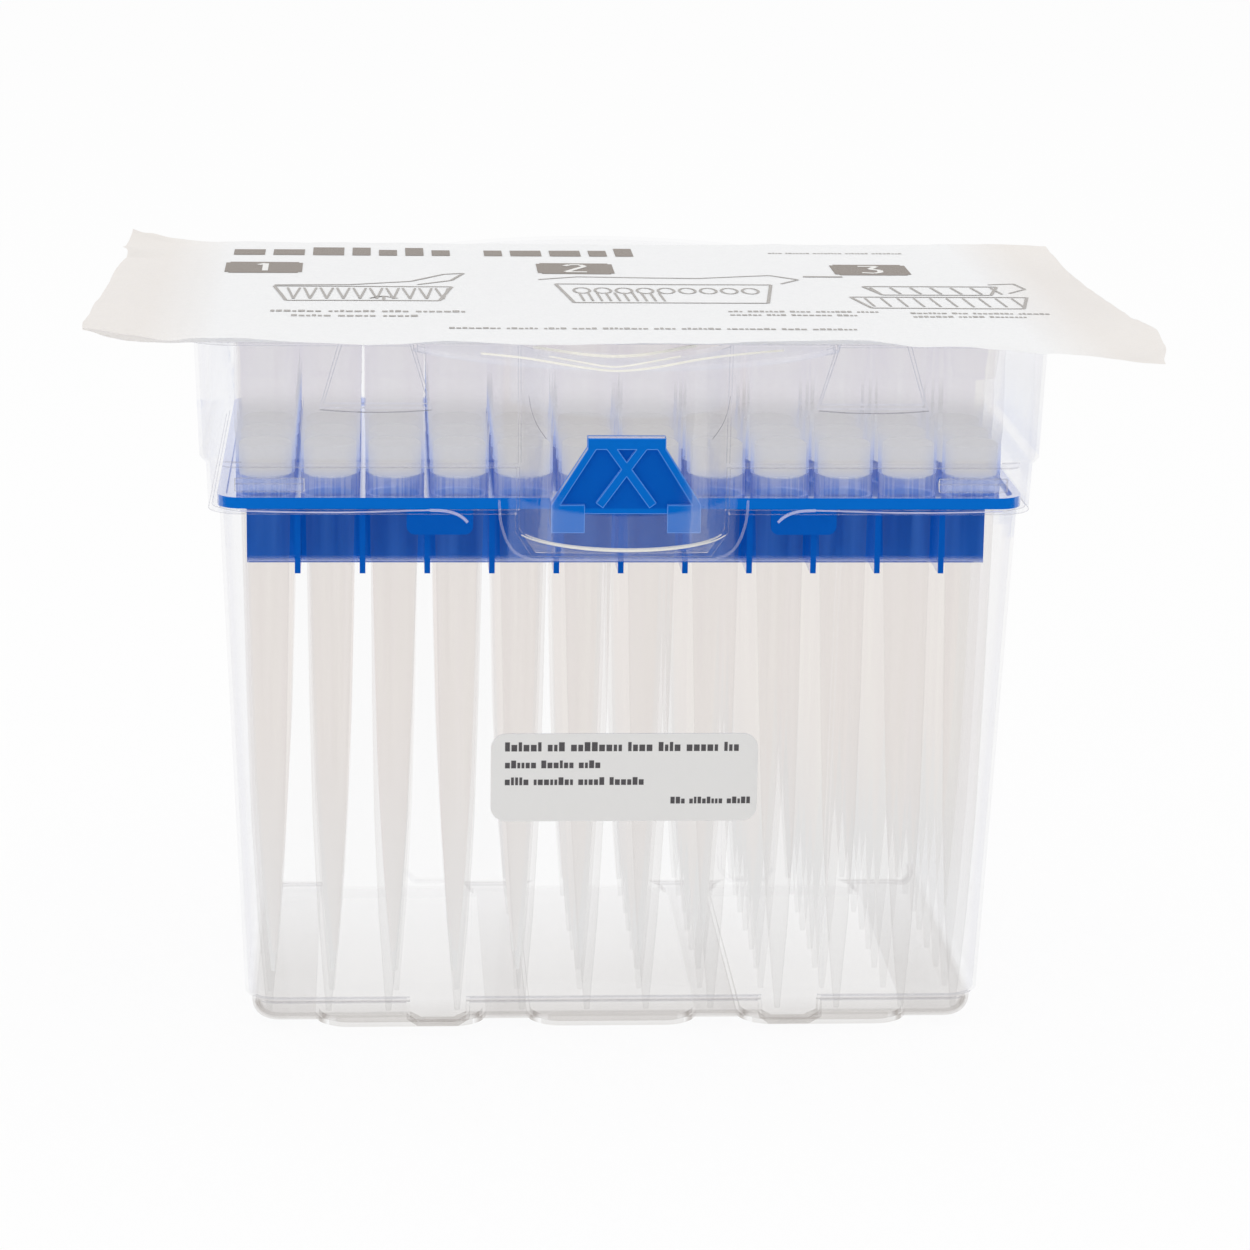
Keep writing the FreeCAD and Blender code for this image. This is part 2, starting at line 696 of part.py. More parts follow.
def make_label():
    """A thin plate on the front wall, tilted by the wall's draft."""
    rise = f"( {LEDGE_BOTTOM} - toe_height - toe_step )"
    low_margin = "( toe_margin + toe_step )"
    draft = f"( {LEDGE_MARGIN} - {low_margin} )"
    lift = "( label_lift - toe_height - toe_step )"
    groove_side = "tab_spacing - ( tab_half + tab_gap + wall )"
    body = new_body("label", Placement__Base__x=f"{groove_side} - label_gap - label_width / 2",
                    Placement__Base__y=f"-1 * ( {GRID_Y} + {low_margin} ) - {lift} * {draft} / {rise}",
                    Placement__Base__z="label_lift")
    body.Placement.Rotation = FreeCAD.Rotation(FreeCAD.Vector(1, 0, 0), 1)
    bind(body, Placement__Rotation__Angle=f"atan( {draft} / {rise} )")
    points = [
        ("-1 * label_width / 2 + label_corner", "-1 * label_height / 2"),
        ("label_width / 2 - label_corner", "-1 * label_height / 2"),
        ("label_width / 2", "-1 * label_height / 2 + label_corner"),
        ("label_width / 2", "label_height / 2 - label_corner"),
        ("label_width / 2 - label_corner", "label_height / 2"),
        ("-1 * label_width / 2 + label_corner", "label_height / 2"),
        ("-1 * label_width / 2", "label_height / 2 - label_corner"),
        ("-1 * label_width / 2", "-1 * label_height / 2 + label_corner"),
    ]
    corners = {edge: "label_corner" for edge in (1, 3, 5, 7)}
    paper = outline(body, "label_outline", "XZ_Plane", points, radii=corners)
    pad(body, "paper", paper, "label_thickness")
    return body


# %% Build and write every piece

parts = [make_tray(), make_rack(), make_film(), make_label()]
for column in range(1, int(SIZES["columns"]) + 1):
    parts.append(make_tip_column(column))
    parts.append(make_filter_column(column))
document.recompute()

for item in document.Objects:
    if "Invalid" in item.State or "Error" in item.State:
        raise RuntimeError(f"{item.Name} failed")
for part in parts:
    if part.Shape.isNull() or not part.Shape.isValid():
        raise RuntimeError(f"{part.Label} has no valid shape")

os.makedirs("parts", exist_ok=True)
for part in parts:
    part.Shape.exportStep(f"parts/{part.Label}.step")
    print(part.Label, len(part.Shape.Solids), round(part.Shape.Volume, 2))
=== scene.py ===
# %% [markdown]
# # A refill box of pipette tips
# A clear tray, drawn from thin plastic sheet, holds a blue rack with 96 frosted tips, and a white
# peel film closes it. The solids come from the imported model, which is loaded first and never moved.
# Each later cell gives one of them its finish, or replaces it with a finer mesh in the same place.

# %% Load the frame and keep its box
import math
import random

import bmesh
import bpy
from mathutils import Matrix, Vector, noise


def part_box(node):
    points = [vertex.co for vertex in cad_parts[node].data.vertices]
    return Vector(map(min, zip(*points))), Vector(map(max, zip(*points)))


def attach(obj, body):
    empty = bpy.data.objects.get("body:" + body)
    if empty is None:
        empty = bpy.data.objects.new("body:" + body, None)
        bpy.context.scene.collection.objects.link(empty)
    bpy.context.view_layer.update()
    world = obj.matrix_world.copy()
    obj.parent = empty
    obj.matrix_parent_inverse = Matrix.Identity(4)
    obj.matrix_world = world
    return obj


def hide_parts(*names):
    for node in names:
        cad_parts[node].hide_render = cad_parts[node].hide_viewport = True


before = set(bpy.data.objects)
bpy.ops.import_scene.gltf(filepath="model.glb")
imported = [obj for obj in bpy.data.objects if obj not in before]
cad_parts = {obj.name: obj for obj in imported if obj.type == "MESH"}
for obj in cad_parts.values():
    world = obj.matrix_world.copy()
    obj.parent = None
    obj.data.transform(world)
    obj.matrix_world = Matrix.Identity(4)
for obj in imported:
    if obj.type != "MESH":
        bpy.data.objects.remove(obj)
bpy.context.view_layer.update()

MM = 0.001

# %% [markdown]
# ## Camera, light and floor
# The box is seen from slightly above its front, a little to the left, and from far enough for a long
# lens to keep its sides nearly parallel. Everything near it is white: a wide floor, a white sky and
# two soft lamps. Clear and frosted plastic show what stands behind them, so an even white room is
# what makes them look clean. A dark room or a hard lamp would turn every wall into a reflection.

# %% Camera
CAMERA_TARGET = Vector((2.99, 0.0, 51.44)) * MM
CAMERA_DISTANCE = 600 * MM
AZIMUTH = math.radians(-3.618)
ELEVATION = math.radians(13.758)
ROLL = math.radians(0.818)

back = Vector((math.sin(AZIMUTH) * math.cos(ELEVATION), -math.cos(AZIMUTH) * math.cos(ELEVATION),
               math.sin(ELEVATION)))
camera_data = bpy.data.cameras.new("camera")
camera_data.lens = 115.6
camera_data.sensor_width = 36
camera_data.clip_end = 20
camera = bpy.data.objects.new("camera", camera_data)
camera.location = CAMERA_TARGET + back * CAMERA_DISTANCE
turned = back.to_track_quat("Z", "Y").to_matrix() @ Matrix.Rotation(ROLL, 3, "Z")
camera.rotation_euler = turned.to_euler()
bpy.context.scene.collection.objects.link(camera)
bpy.context.scene.camera = camera
bpy.context.scene.view_settings.view_transform = "Standard"
print("Camera at", [round(value, 3) for value in camera.location])


# %% Helpers for materials
def colour(text):
    """An sRGB hex value as the linear colour that the shaders take."""
    channels = [int(text[place:place + 2], 16) / 255 for place in (0, 2, 4)]
    return [c / 12.92 if c <= 0.04045 else ((c + 0.055) / 1.055) ** 2.4 for c in channels] + [1.0]


def add(tree, kind, settings=None, inputs=None):
    """Add a shader node. Each input is a value, another node's output, or a whole node, which
    stands for its first output in use."""
    made = tree.nodes.new("ShaderNode" + kind)
    for name, value in (settings or {}).items():
        setattr(made, name, value)
    for name, value in (inputs or {}).items():
        if isinstance(value, bpy.types.Node):
            value = next(socket for socket in value.outputs if socket.enabled)
        if isinstance(value, bpy.types.NodeSocket):
            tree.links.new(value, made.inputs[name])
        else:
            made.inputs[name].default_value = value
    return made


# settings that come back in many nodes: sums and comparisons, a blend of two colours, and ramps
MULTIPLY = {"operation": "MULTIPLY"}
SUBTRACT = {"operation": "SUBTRACT"}
ABSOLUTE = {"operation": "ABSOLUTE"}
LARGER = {"operation": "MAXIMUM"}
BELOW = {"operation": "LESS_THAN"}
BEYOND = {"operation": "GREATER_THAN"}
COLOURS = {"data_type": "RGBA"}
RAMP = {"clamp": True}
SOFT_RAMP = {"clamp": True, "interpolation_type": "SMOOTHSTEP"}


def new_material(name):
    """An empty node material, and its tree."""
    made = bpy.data.materials.new(name)
    made.use_nodes = True
    made.node_tree.nodes.clear()
    return made, made.node_tree


def all_of(tree, *masks):
    """One mask, as strong as these masks and shares are together."""
    joined = masks[0]
    for mask in masks[1:]:
        joined = add(tree, "Math", MULTIPLY, {0: joined, 1: mask})
    return joined


def position(tree):
    """X, Y and Z of the point that is shaded, in metres."""
    return add(tree, "SeparateXYZ", inputs={0: add(tree, "TexCoord").outputs["Object"]}).outputs


def stretched(tree, x, y, z):
    """Object coordinates, squeezed so that a pattern runs long on the axes with small numbers."""
    place = add(tree, "TexCoord").outputs["Object"]
    return add(tree, "Mapping", inputs={"Vector": place, "Scale": (x, y, z)})


def seen_ray(tree):
    """1 for rays that show the surface to the eye: straight, mirrored or through glass."""
    path = add(tree, "LightPath").outputs
    either = add(tree, "Math", LARGER, {0: path["Is Camera Ray"], 1: path["Is Glossy Ray"]})
    return add(tree, "Math", LARGER, {0: either, 1: path["Is Transmission Ray"]})


# a ray crosses eight see-through skins at most
DEEPEST = 7.5


def finish_clear(material, shader, haze):
    """Output a see-through material. The skin after the last one that a ray may cross is a painted glow in
    the mean tone of what lies behind it, not black."""
    tree = material.node_tree
    path = add(tree, "LightPath").outputs
    past = add(tree, "Math", BEYOND, {0: path["Transparent Depth"], 1: DEEPEST})
    # painted glow that stands in for the light from behind the deepest skin
    rest = add(tree, "Emission", inputs={"Color": haze})
    skin = add(tree, "MixShader", inputs={0: past, 1: shader, 2: rest})
    add(tree, "OutputMaterial", inputs={"Surface": skin})
    material.cycles.emission_sampling = "NONE"


# %% White floor
FLOOR_GLOW = 0.92
FLOOR_HALF = 6.0


def make_floor_material():
    """Matt white card. Seen straight on it is nearly pure white, and still takes a faint shadow."""
    material, tree = new_material("white_card")
    grain = add(tree, "TexNoise", inputs={"Scale": 40.0, "Detail": 3.0})
    tone = add(tree, "Mix", COLOURS, {0: grain, 6: colour("f0f0f0"), 7: colour("f4f4f4")})
    card = add(tree, "BsdfDiffuse", inputs={"Color": tone})
    glow = add(tree, "Emission", inputs={"Color": colour("ffffff")})
    share = all_of(tree, seen_ray(tree), FLOOR_GLOW)
    skin = add(tree, "MixShader", inputs={0: share, 1: card, 2: glow})
    add(tree, "OutputMaterial", inputs={"Surface": skin})
    material.cycles.emission_sampling = "NONE"
    return material


floor_mesh = bpy.data.meshes.new("floor")
shape = bmesh.new()
bmesh.ops.create_grid(shape, x_segments=1, y_segments=1, size=FLOOR_HALF)
shape.to_mesh(floor_mesh)
shape.free()
floor = bpy.data.objects.new("floor", floor_mesh)
floor.data.materials.append(make_floor_material())
bpy.context.scene.collection.objects.link(floor)
print("Floor:", len(floor_mesh.polygons), "face")

# %% Sky and lamps
world = bpy.data.worlds.new("white_room")
world.use_nodes = True
sky_tree = world.node_tree
sky_tree.nodes.clear()
sky = add(sky_tree, "Background", inputs={"Color": colour("ffffff"), "Strength": 0.85})
bright = add(sky_tree, "Background", inputs={"Color": colour("ffffff"), "Strength": 1.0})
room = add(sky_tree, "MixShader", inputs={0: seen_ray(sky_tree), 1: sky, 2: bright})
add(sky_tree, "OutputWorld", inputs={"Surface": room})
bpy.context.scene.world = world

BOX_MIDDLE = Vector((0, 0, 0.05))


def area_lamp(name, place, size, watts):
    """A soft lamp that faces the middle of the box."""
    data = bpy.data.lights.new(name, "AREA")
    data.shape = "RECTANGLE"
    data.size, data.size_y = size
    data.energy = watts
    lamp = bpy.data.objects.new(name, data)
    lamp.location = place
    lamp.rotation_euler = (Vector(place) - BOX_MIDDLE).to_track_quat("Z", "Y").to_euler()
    bpy.context.scene.collection.objects.link(lamp)


area_lamp("top_softbox", (0.1, 0.1, 1.0), (1.0, 0.8), 1.5)
area_lamp("front_softbox", (-0.5, -1.0, 0.5), (0.8, 0.8), 2.0)
print("Lamps:", len(bpy.data.lights))


# %% Helpers for pieces
def piece(name, mesh_maker, material, slot, *replaced):
    """Make a mesh piece from a bmesh that mesh_maker fills, in metres, at the origin."""
    shape = bmesh.new()
    mesh_maker(shape)
    mesh = bpy.data.meshes.new(name)
    shape.to_mesh(mesh)
    shape.free()
    made = bpy.data.objects.new(name, mesh)
    made.data.materials.append(material)
    bpy.context.scene.collection.objects.link(made)
    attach(made, "root")
    if replaced:
        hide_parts(*replaced)
    return made


def give(node_name, material):
    """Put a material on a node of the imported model."""
    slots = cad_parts[node_name].data.materials
    slots.clear()
    slots.append(material)


def smooth(made, angle=40):
    made.data.shade_smooth()
    made.data.set_sharp_from_angle(angle=math.radians(angle))


def between(value, places):
    """Read a value off a short list of (place, value) pairs, with a soft slope between them."""
    if value <= places[0][0]:
        return places[0][1]
    for (start, low), (end, high) in zip(places, places[1:]):
        if value <= end:
            share = (value - start) / (end - start)
            return low + (high - low) * share * share * (3 - 2 * share)
    return places[-1][1]


# %% [markdown]
# ## The clear tray
# The tray is half a millimetre of clear PET. Its shape is the imported node's own, so only the finish
# is made here: a see-through skin that darkens a little where it slants away from the eye, with
# painted shade on the slopes of its floor and down the foot of its front wall, and a weak mirror
# sheen. Drawing has clouded a few parts of the front wall, so a milky share is blended in there.
# Refraction is left out, because walls this thin hardly bend what is behind them.

# %% Clear PET
# clouded parts of the front wall: from and to aside, from and to up, in millimetres, milky share
HAZE_ZONES = [(16.5, 57, 84.5, 101, 0.065), (-16, 16, 92.5, 101, 0.065),
              (-16, 16, 69.5, 79.5, 0.05), (44.0, 53.5, 79.8, 82.0, 0.18)]
HAZE_EDGE = 0.5
# the front wall lies in front of the first of these places, and its foot in front of the second
FRONT_PART, FRONT_FOOT = -30, -32


def zone_mask(tree, place, low_x, high_x, low_z, high_z):
    """1 inside a zone of the front wall and 0 outside it, with a soft edge."""
    masks = [add(tree, "Math", BELOW, {0: place["Y"], 1: FRONT_PART * MM})]
    aside = add(tree, "Math", ABSOLUTE, {0: place["X"]})
    for value, low, high in ((aside, low_x, high_x), (place["Z"], low_z, high_z)):
        half = (high - low) / 2
        middle = add(tree, "Math", SUBTRACT, {0: value, 1: (low + high) / 2 * MM})
        off_middle = add(tree, "Math", ABSOLUTE, {0: middle})
        masks.append(add(tree, "MapRange", RAMP, {"Value": off_middle, "From Min": half * MM,
                                                  "From Max": (half - HAZE_EDGE) * MM}))
    return all_of(tree, *masks)


def make_clear_pet():
    """Clear on the walls, with a tint on slopes, painted shade on the floor's slopes, strongest towards the
    front, and painted shade down the foot of the front.
    """
    material, tree = new_material("clear_pet_sheet")
    place = position(tree)
    facing = add(tree, "LayerWeight", inputs={"Blend": 0.5}).outputs["Facing"]
    rise = add(tree, "MapRange", SOFT_RAMP, {"Value": facing, "From Min": 0.25, "From Max": 0.5})
    fall = add(tree, "MapRange", SOFT_RAMP, {"Value": facing, "From Min": 0.55, "From Max": 0.63,
                                             "To Min": 1.0, "To Max": 0.25})
    draw = add(tree, "TexNoise", inputs={"Vector": stretched(tree, 60, 60, 12), "Scale": 1.0, "Detail": 1.0})
    clean = add(tree, "Mix", COLOURS, {0: draw, 6: colour("ffffff"), 7: colour("fdfdfd")})
    # painted shade on the floor's slopes, from faint at the rear to full at the front
    low = add(tree, "MapRange", RAMP, {"Value": place["Z"], "From Min": 4.5 * MM, "From Max": 3.5 * MM})
    depth = add(tree, "MapRange", RAMP, {"Value": place["Y"], "From Min": 38 * MM, "From Max": -12 * MM,
                                         "To Min": 0.2})
    floor_shade_mask = all_of(tree, low, depth)
    slope_shade = add(tree, "Mix", COLOURS, {0: floor_shade_mask, 6: colour("fcfcfd"), 7: colour("d2cecb")})
    tint = add(tree, "Mix", COLOURS, {0: all_of(tree, rise, fall), 6: clean, 7: slope_shade})
    # painted shade down the foot of the front wall
    foot = add(tree, "MapRange", RAMP, {"Value": place["Z"], "From Min": 5.5 * MM, "From Max": 0.0})
    front = add(tree, "Math", BELOW, {0: place["Y"], 1: FRONT_FOOT * MM})
    tint = add(tree, "Mix", COLOURS, {0: all_of(tree, foot, front), 6: tint, 7: colour("f2f1f0")})
    clear = add(tree, "BsdfTransparent", inputs={"Color": tint})
    gloss = add(tree, "BsdfGlossy", inputs={"Color": colour("f6f6f8"), "Roughness": 0.05})
    # nothing mirrors where the sheet is seen straight on
    mirror = add(tree, "Fresnel", inputs={"IOR": 1.45})
    sheen = add(tree, "MapRange", RAMP, {"Value": mirror, "From Min": 0.05, "From Max": 1.0, "To Max": 0.15})
    skin = add(tree, "MixShader", inputs={0: sheen, 1: clear, 2: gloss})
    haze = add(tree, "BsdfDiffuse", inputs={"Color": colour("e8eefe")})
    for *zone, share in HAZE_ZONES:
        clouded = all_of(tree, zone_mask(tree, place, *zone), share)
        skin = add(tree, "MixShader", inputs={0: clouded, 1: skin, 2: haze})
    finish_clear(material, skin, colour("f8f8f8"))
    return material


give("tray", make_clear_pet())
print("Clear sheet with", len(HAZE_ZONES), "clouded parts")

# %% [markdown]
# ### Edges of the sheet
# Light gathers where the sheet is creased: each crease shows as a fine line, greyer than a white
# ground and paler than the blue. Thin rods along the creases of the imported tray paint those lines.
# Where the sheet rounds over a wider bend it shines white, and for that painted highlight thicker
# rods follow a level cut through the bulge and curves through a few points: the bulge's flare, the
# bends over the tabs and the rounded lip of the front lobe. Darker rods paint the shade along the
# feet of the stacking lugs, and two fine dark arcs on the bulge.

# %% Rods
def rod(shape, start, end, radius):
    """A four-sided rod, open at its ends."""
    along = (end - start).normalized()
    side = along.orthogonal().normalized() * radius
    other = along.cross(side)
    rings = [[shape.verts.new(end_point + offset) for offset in (side, other, -side, -other)]
             for end_point in (start, end)]
    for step in range(4):
        after = (step + 1) % 4
        shape.faces.new((rings[0][step], rings[0][after], rings[1][after], rings[1][step]))


def welded(node_name):
    """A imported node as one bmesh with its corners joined."""
    source = bmesh.new()
    source.from_mesh(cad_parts[node_name].data)
    bmesh.ops.remove_doubles(source, verts=source.verts, dist=1e-7)
    return source


# %% Crease lines
# soft bends of the tray that show no line: from and to aside, in depth and up, in millimetres
FAR = 1000
SOFT_BENDS = [
    ((-1, FAR), (20, FAR), (-FAR, FAR)),
    ((-1, FAR), (-33, FAR), (-FAR, 10)),
    ((55, FAR), (-FAR, FAR), (82, 101)),
    ((-1, 17), (-FAR, -38), (69, 76)),
    ((-1, 48), (-FAR, -38), (83.5, 86)),
    ((17, 33), (-FAR, -30), (-FAR, 77.8)),
    ((-1, 30), (-FAR, -45), (98, FAR)),
]
CREASE_ANGLE = math.radians(25)
CREASE_RADIUS = 0.09 * MM


def middle_of(edge):
    """The middle of an edge, in millimetres."""
    return (edge.verts[0].co + edge.verts[1].co) / 2 / MM


def crease_shape(shape):
    """A rod along each sharp crease of the tray."""
    source = welded("tray")
    for edge in source.edges:
        middle = middle_of(edge)
        place = (abs(middle.x), middle.y, middle.z)
        soft = any(all(low < value < high for value, (low, high) in zip(place, part)) for part in SOFT_BENDS)
        if len(edge.link_faces) == 2 and edge.calc_face_angle(0) > CREASE_ANGLE and not soft:
            rod(shape, edge.verts[0].co, edge.verts[1].co, CREASE_RADIUS)
    source.free()


# %% Highlight of the bulge
# height of the cut, where the bulge starts in depth, half its width, and the thickest rod's radius
BULGE_CUT, BULGE_FRONT, BULGE_HALF, BULGE_RADIUS = 74.4, -41, 15.2, 0.2


def bulge_highlight_shape(shape):
    """A painted highlight along a level cut through the front bulge, just above its floor, where the wall
    rounds inwards.
    """
    source = welded("tray")
    cut = bmesh.ops.bisect_plane(source, geom=source.verts[:] + source.edges[:] + source.faces[:],
                                 plane_co=(0, 0, BULGE_CUT * MM), plane_no=(0, 0, 1))["geom_cut"]
    for edge in cut:
        if isinstance(edge, bmesh.types.BMEdge):
            middle = middle_of(edge)
            if middle.y < BULGE_FRONT and abs(middle.x) < BULGE_HALF:
                radius = BULGE_RADIUS * math.sqrt(1.03 - (middle.x / BULGE_HALF) ** 2)
                rod(shape, edge.verts[0].co, edge.verts[1].co, radius * MM)
    source.free()


# %% Lines along curves
def along(shape, path, radius):
    """Rods along a smooth curve through the points, in millimetres."""
    points = [Vector(path[0])] + [Vector(point) for point in path] + [Vector(path[-1])]
    curve = []
    for a, b, c, d in zip(points, points[1:], points[2:], points[3:]):
        for part in (0, 0.25, 0.5, 0.75):
            curve.append(b + part * (c - a) / 2 + part ** 2 * (2 * a - 5 * b + 4 * c - d) / 2
                         + part ** 3 * (3 * b - a - 3 * c + d) / 2)
    curve.append(points[-1])
    for start, end in zip(curve, curve[1:]):
        rod(shape, start * MM, end * MM, radius * MM)


# depth of the rods on the bulge's flare and under the rim
BEND_FRONT, TAB_FRONT = -41.0, -40.2


def bend_highlight_shape(shape):
    """Painted highlights where the bulge's underside flares into the wall."""
    half = [(17.2, 79.2), (17.0, 76.4), (16.5, 74.5), (15.8, 72.9), (14.6, 71.6), (13.0, 71.0),
            (11.5, 70.8), (0, 70.8)]
    for side in (-1, 1):
        along(shape, [(side * x, BEND_FRONT, z) for x, z in half], 0.26)


def tab_highlight_shape(shape):
    """Painted highlights under the rim, where the wall bends over the ledge, and round the head of each
    groove.
    """
    level = [(52.8, 77.5), (44.6, 77.3), (37.7, 77.3), (30.8, 77.5), (26.7, 77.6)]
    head = [(26.7, 77.6), (24.6, 77.5), (23.1, 77.1), (22.1, 76.5), (21.5, 75.9)]
    for side in (-1, 1):
        along(shape, [(side * x, TAB_FRONT, z) for x, z in level], 0.13)
        along(shape, [(side * x, TAB_FRONT, z) for x, z in head], 0.24)


# points along each line of light, in millimetres
LIP_LINES = [
    [(-12.8, -47.2, 101.65), (-9.5, -50.3, 101.65), (-5.6, -53.3, 101.65), (-2.3, -54.4, 101.65),
     (1.4, -53.1, 101.65), (5.4, -49.6, 101.65), (9.3, -45.5, 101.65)],
    [(-11.0, -54.5, 101.65), (-7.1, -57.4, 101.42), (-2.5, -58.1, 100.87), (2.1, -58.1, 101.56),
     (6.5, -54.2, 101.65)],
    [(-20.1, -52.4, 101.65), (-17.6, -53.8, 101.65), (-14.3, -55.3, 101.54), (-10.4, -56.6, 101.13),
     (-6.2, -57.6, 100.64), (-2.0, -58.1, 100.34), (2.9, -58.0, 100.81), (8.9, -56.5, 101.65),
     (14.6, -52.5, 101.65), (20.8, -49.3, 101.65)],
]


def lip_highlight_shape(shape):
    """Three lines of light on the rounded lip of the front lobe."""
    for line, radius in zip(LIP_LINES, (0.24, 0.13, 0.18)):
        along(shape, line, radius)


# the middle and half width of a stacking lug's foot, and how far it sags
LUG_X, LUG_Y, LUG_Z, LUG_HALF, LUG_SAG = 34.1, -42.6, 92.1, 7.6, 0.35
BULGE_ARC = [(13.6, -50.6, 95.6), (13.2, -51.0, 93.5), (12.4, -51.4, 91.6), (11.2, -51.3, 89.8)]


def dark_line_shape(shape):
    """Fine dark lines: painted shade along the foot of each stacking lug, and two dark arcs on the bulge."""
    for side in (-1, 1):
        # painted shade along the foot of the lug
        foot = []
        for x in (-LUG_HALF, -5, -2.5, 0, 2.5, 5, LUG_HALF):
            foot.append((side * LUG_X + x, LUG_Y, LUG_Z - LUG_SAG * (1 - (x / LUG_HALF) ** 2)))
        along(shape, foot, 0.1)
        along(shape, [(side * x, y, z) for x, y, z in BULGE_ARC], 0.06)


# %% Painted lines on the sheet, and the pieces
def make_painted_line(name, shade, share):
    """A painted line on clear sheet: a share of it is diffuse in the given shade, pale for a painted
    highlight and dark for painted shade.
    """
    material, tree = new_material(name)
    draw = add(tree, "TexNoise", inputs={"Scale": 120.0, "Detail": 2.0})
    milk = add(tree, "BsdfDiffuse", inputs={"Color": colour(shade)})
    clear = add(tree, "BsdfTransparent", inputs={"Color": colour("fafafb")})
    part = add(tree, "MapRange", RAMP, {"Value": draw, "From Min": 0.3, "From Max": 0.7,
                                        "To Min": 0.6 * share, "To Max": 1.4 * share})
    skin = add(tree, "MixShader", inputs={0: part, 1: clear, 2: milk})
    finish_clear(material, skin, colour("f4f4f5"))
    return material


# painted grey lines where light gathers along the creases
creases = piece("tray_creases", crease_shape, make_painted_line("painted_crease_pet_sheet", "ceced3", 0.1), "clear_pet")
# painted white highlight, for the bulge and the lobe's lip
rounded = make_painted_line("highlight_pet_sheet", "fffdf2", 0.6)
highlight = piece("bulge_highlight", bulge_highlight_shape, rounded, "clear_pet")
# painted pale lavender highlight
bend_highlight_sheet = make_painted_line("bend_highlight_pet_sheet", "dfe3fb", 0.13)
piece("bend_highlights", bend_highlight_shape, bend_highlight_sheet, "clear_pet")
# painted lavender-white highlight
piece("tab_highlights", tab_highlight_shape, make_painted_line("tab_highlight_pet_sheet", "dadcf8", 0.4), "clear_pet")
# painted highlights on the lobe's lip
piece("lip_highlights", lip_highlight_shape, rounded, "clear_pet")
piece("tray_dark_lines", dark_line_shape, make_painted_line("dark_line_pet_sheet", "8e8e96", 0.35), "clear_pet")
print("Creases:", len(creases.data.polygons) // 4, "rods; highlight:", len(highlight.data.polygons) // 4)


# %% [markdown]
# ## The blue rack
# The rack is one moulding in blue polypropylene. A faint mottle in the colour and a fine bump keep
# it from looking like paint, and a little light passes through its thin ribs. The deck is polished:
# seen at a low angle it mirrors the white room and the tips, so it looks pale lavender, not blue. A
# dim painted glow stands for the light that wanders inside the plastic and keeps its shaded ribs
# blue. The web of ribs under the deck has paler upright streaks of painted light and fades at its
# lower edge, the rim and the braces carry a painted sheen of brighter blue, and the rear rim's inner
# face carries a painted reflection, as pale as the tips that it mirrors.

# %% Blue polypropylene
# heights over the rack's lowest edge, then places in depth, in millimetres
WEB_FADE, WEB_TOP, RIM_LOW, RIM_TOP = 1.1, 9, 10, 11.7
WEB_DEPTH, REAR_RIM, BRACES = 30, 36.5, 45.9


def blue_skin(tree):
    """Mottled, finely rough and a little translucent, with a dim painted glow for the light that wanders
    inside it.
    """
    mottle = add(tree, "TexNoise", inputs={"Scale": 350.0, "Detail": 3.0})
    tone = add(tree, "Mix", COLOURS, {0: mottle, 6: colour("004b99"), 7: colour("0055a6")})
    grain = add(tree, "TexNoise", inputs={"Scale": 2500.0, "Detail": 1.0})
    bump = add(tree, "Bump", inputs={"Strength": 0.15, "Distance": 0.0001, "Height": grain})
    skin = add(tree, "BsdfPrincipled", inputs={"Base Color": tone, "Roughness": 0.42, "IOR": 1.49,
                                               "Specular IOR Level": 0.04, "Normal": bump})
    through = add(tree, "BsdfTranslucent", inputs={"Color": colour("0474e8")})
    lit = add(tree, "MixShader", inputs={0: 0.2, 1: skin, 2: through})
    # painted glow for the light that wanders inside the plastic
    glow = add(tree, "Emission", inputs={"Color": colour("023268")})
    return add(tree, "AddShader", inputs={0: lit, 1: glow})


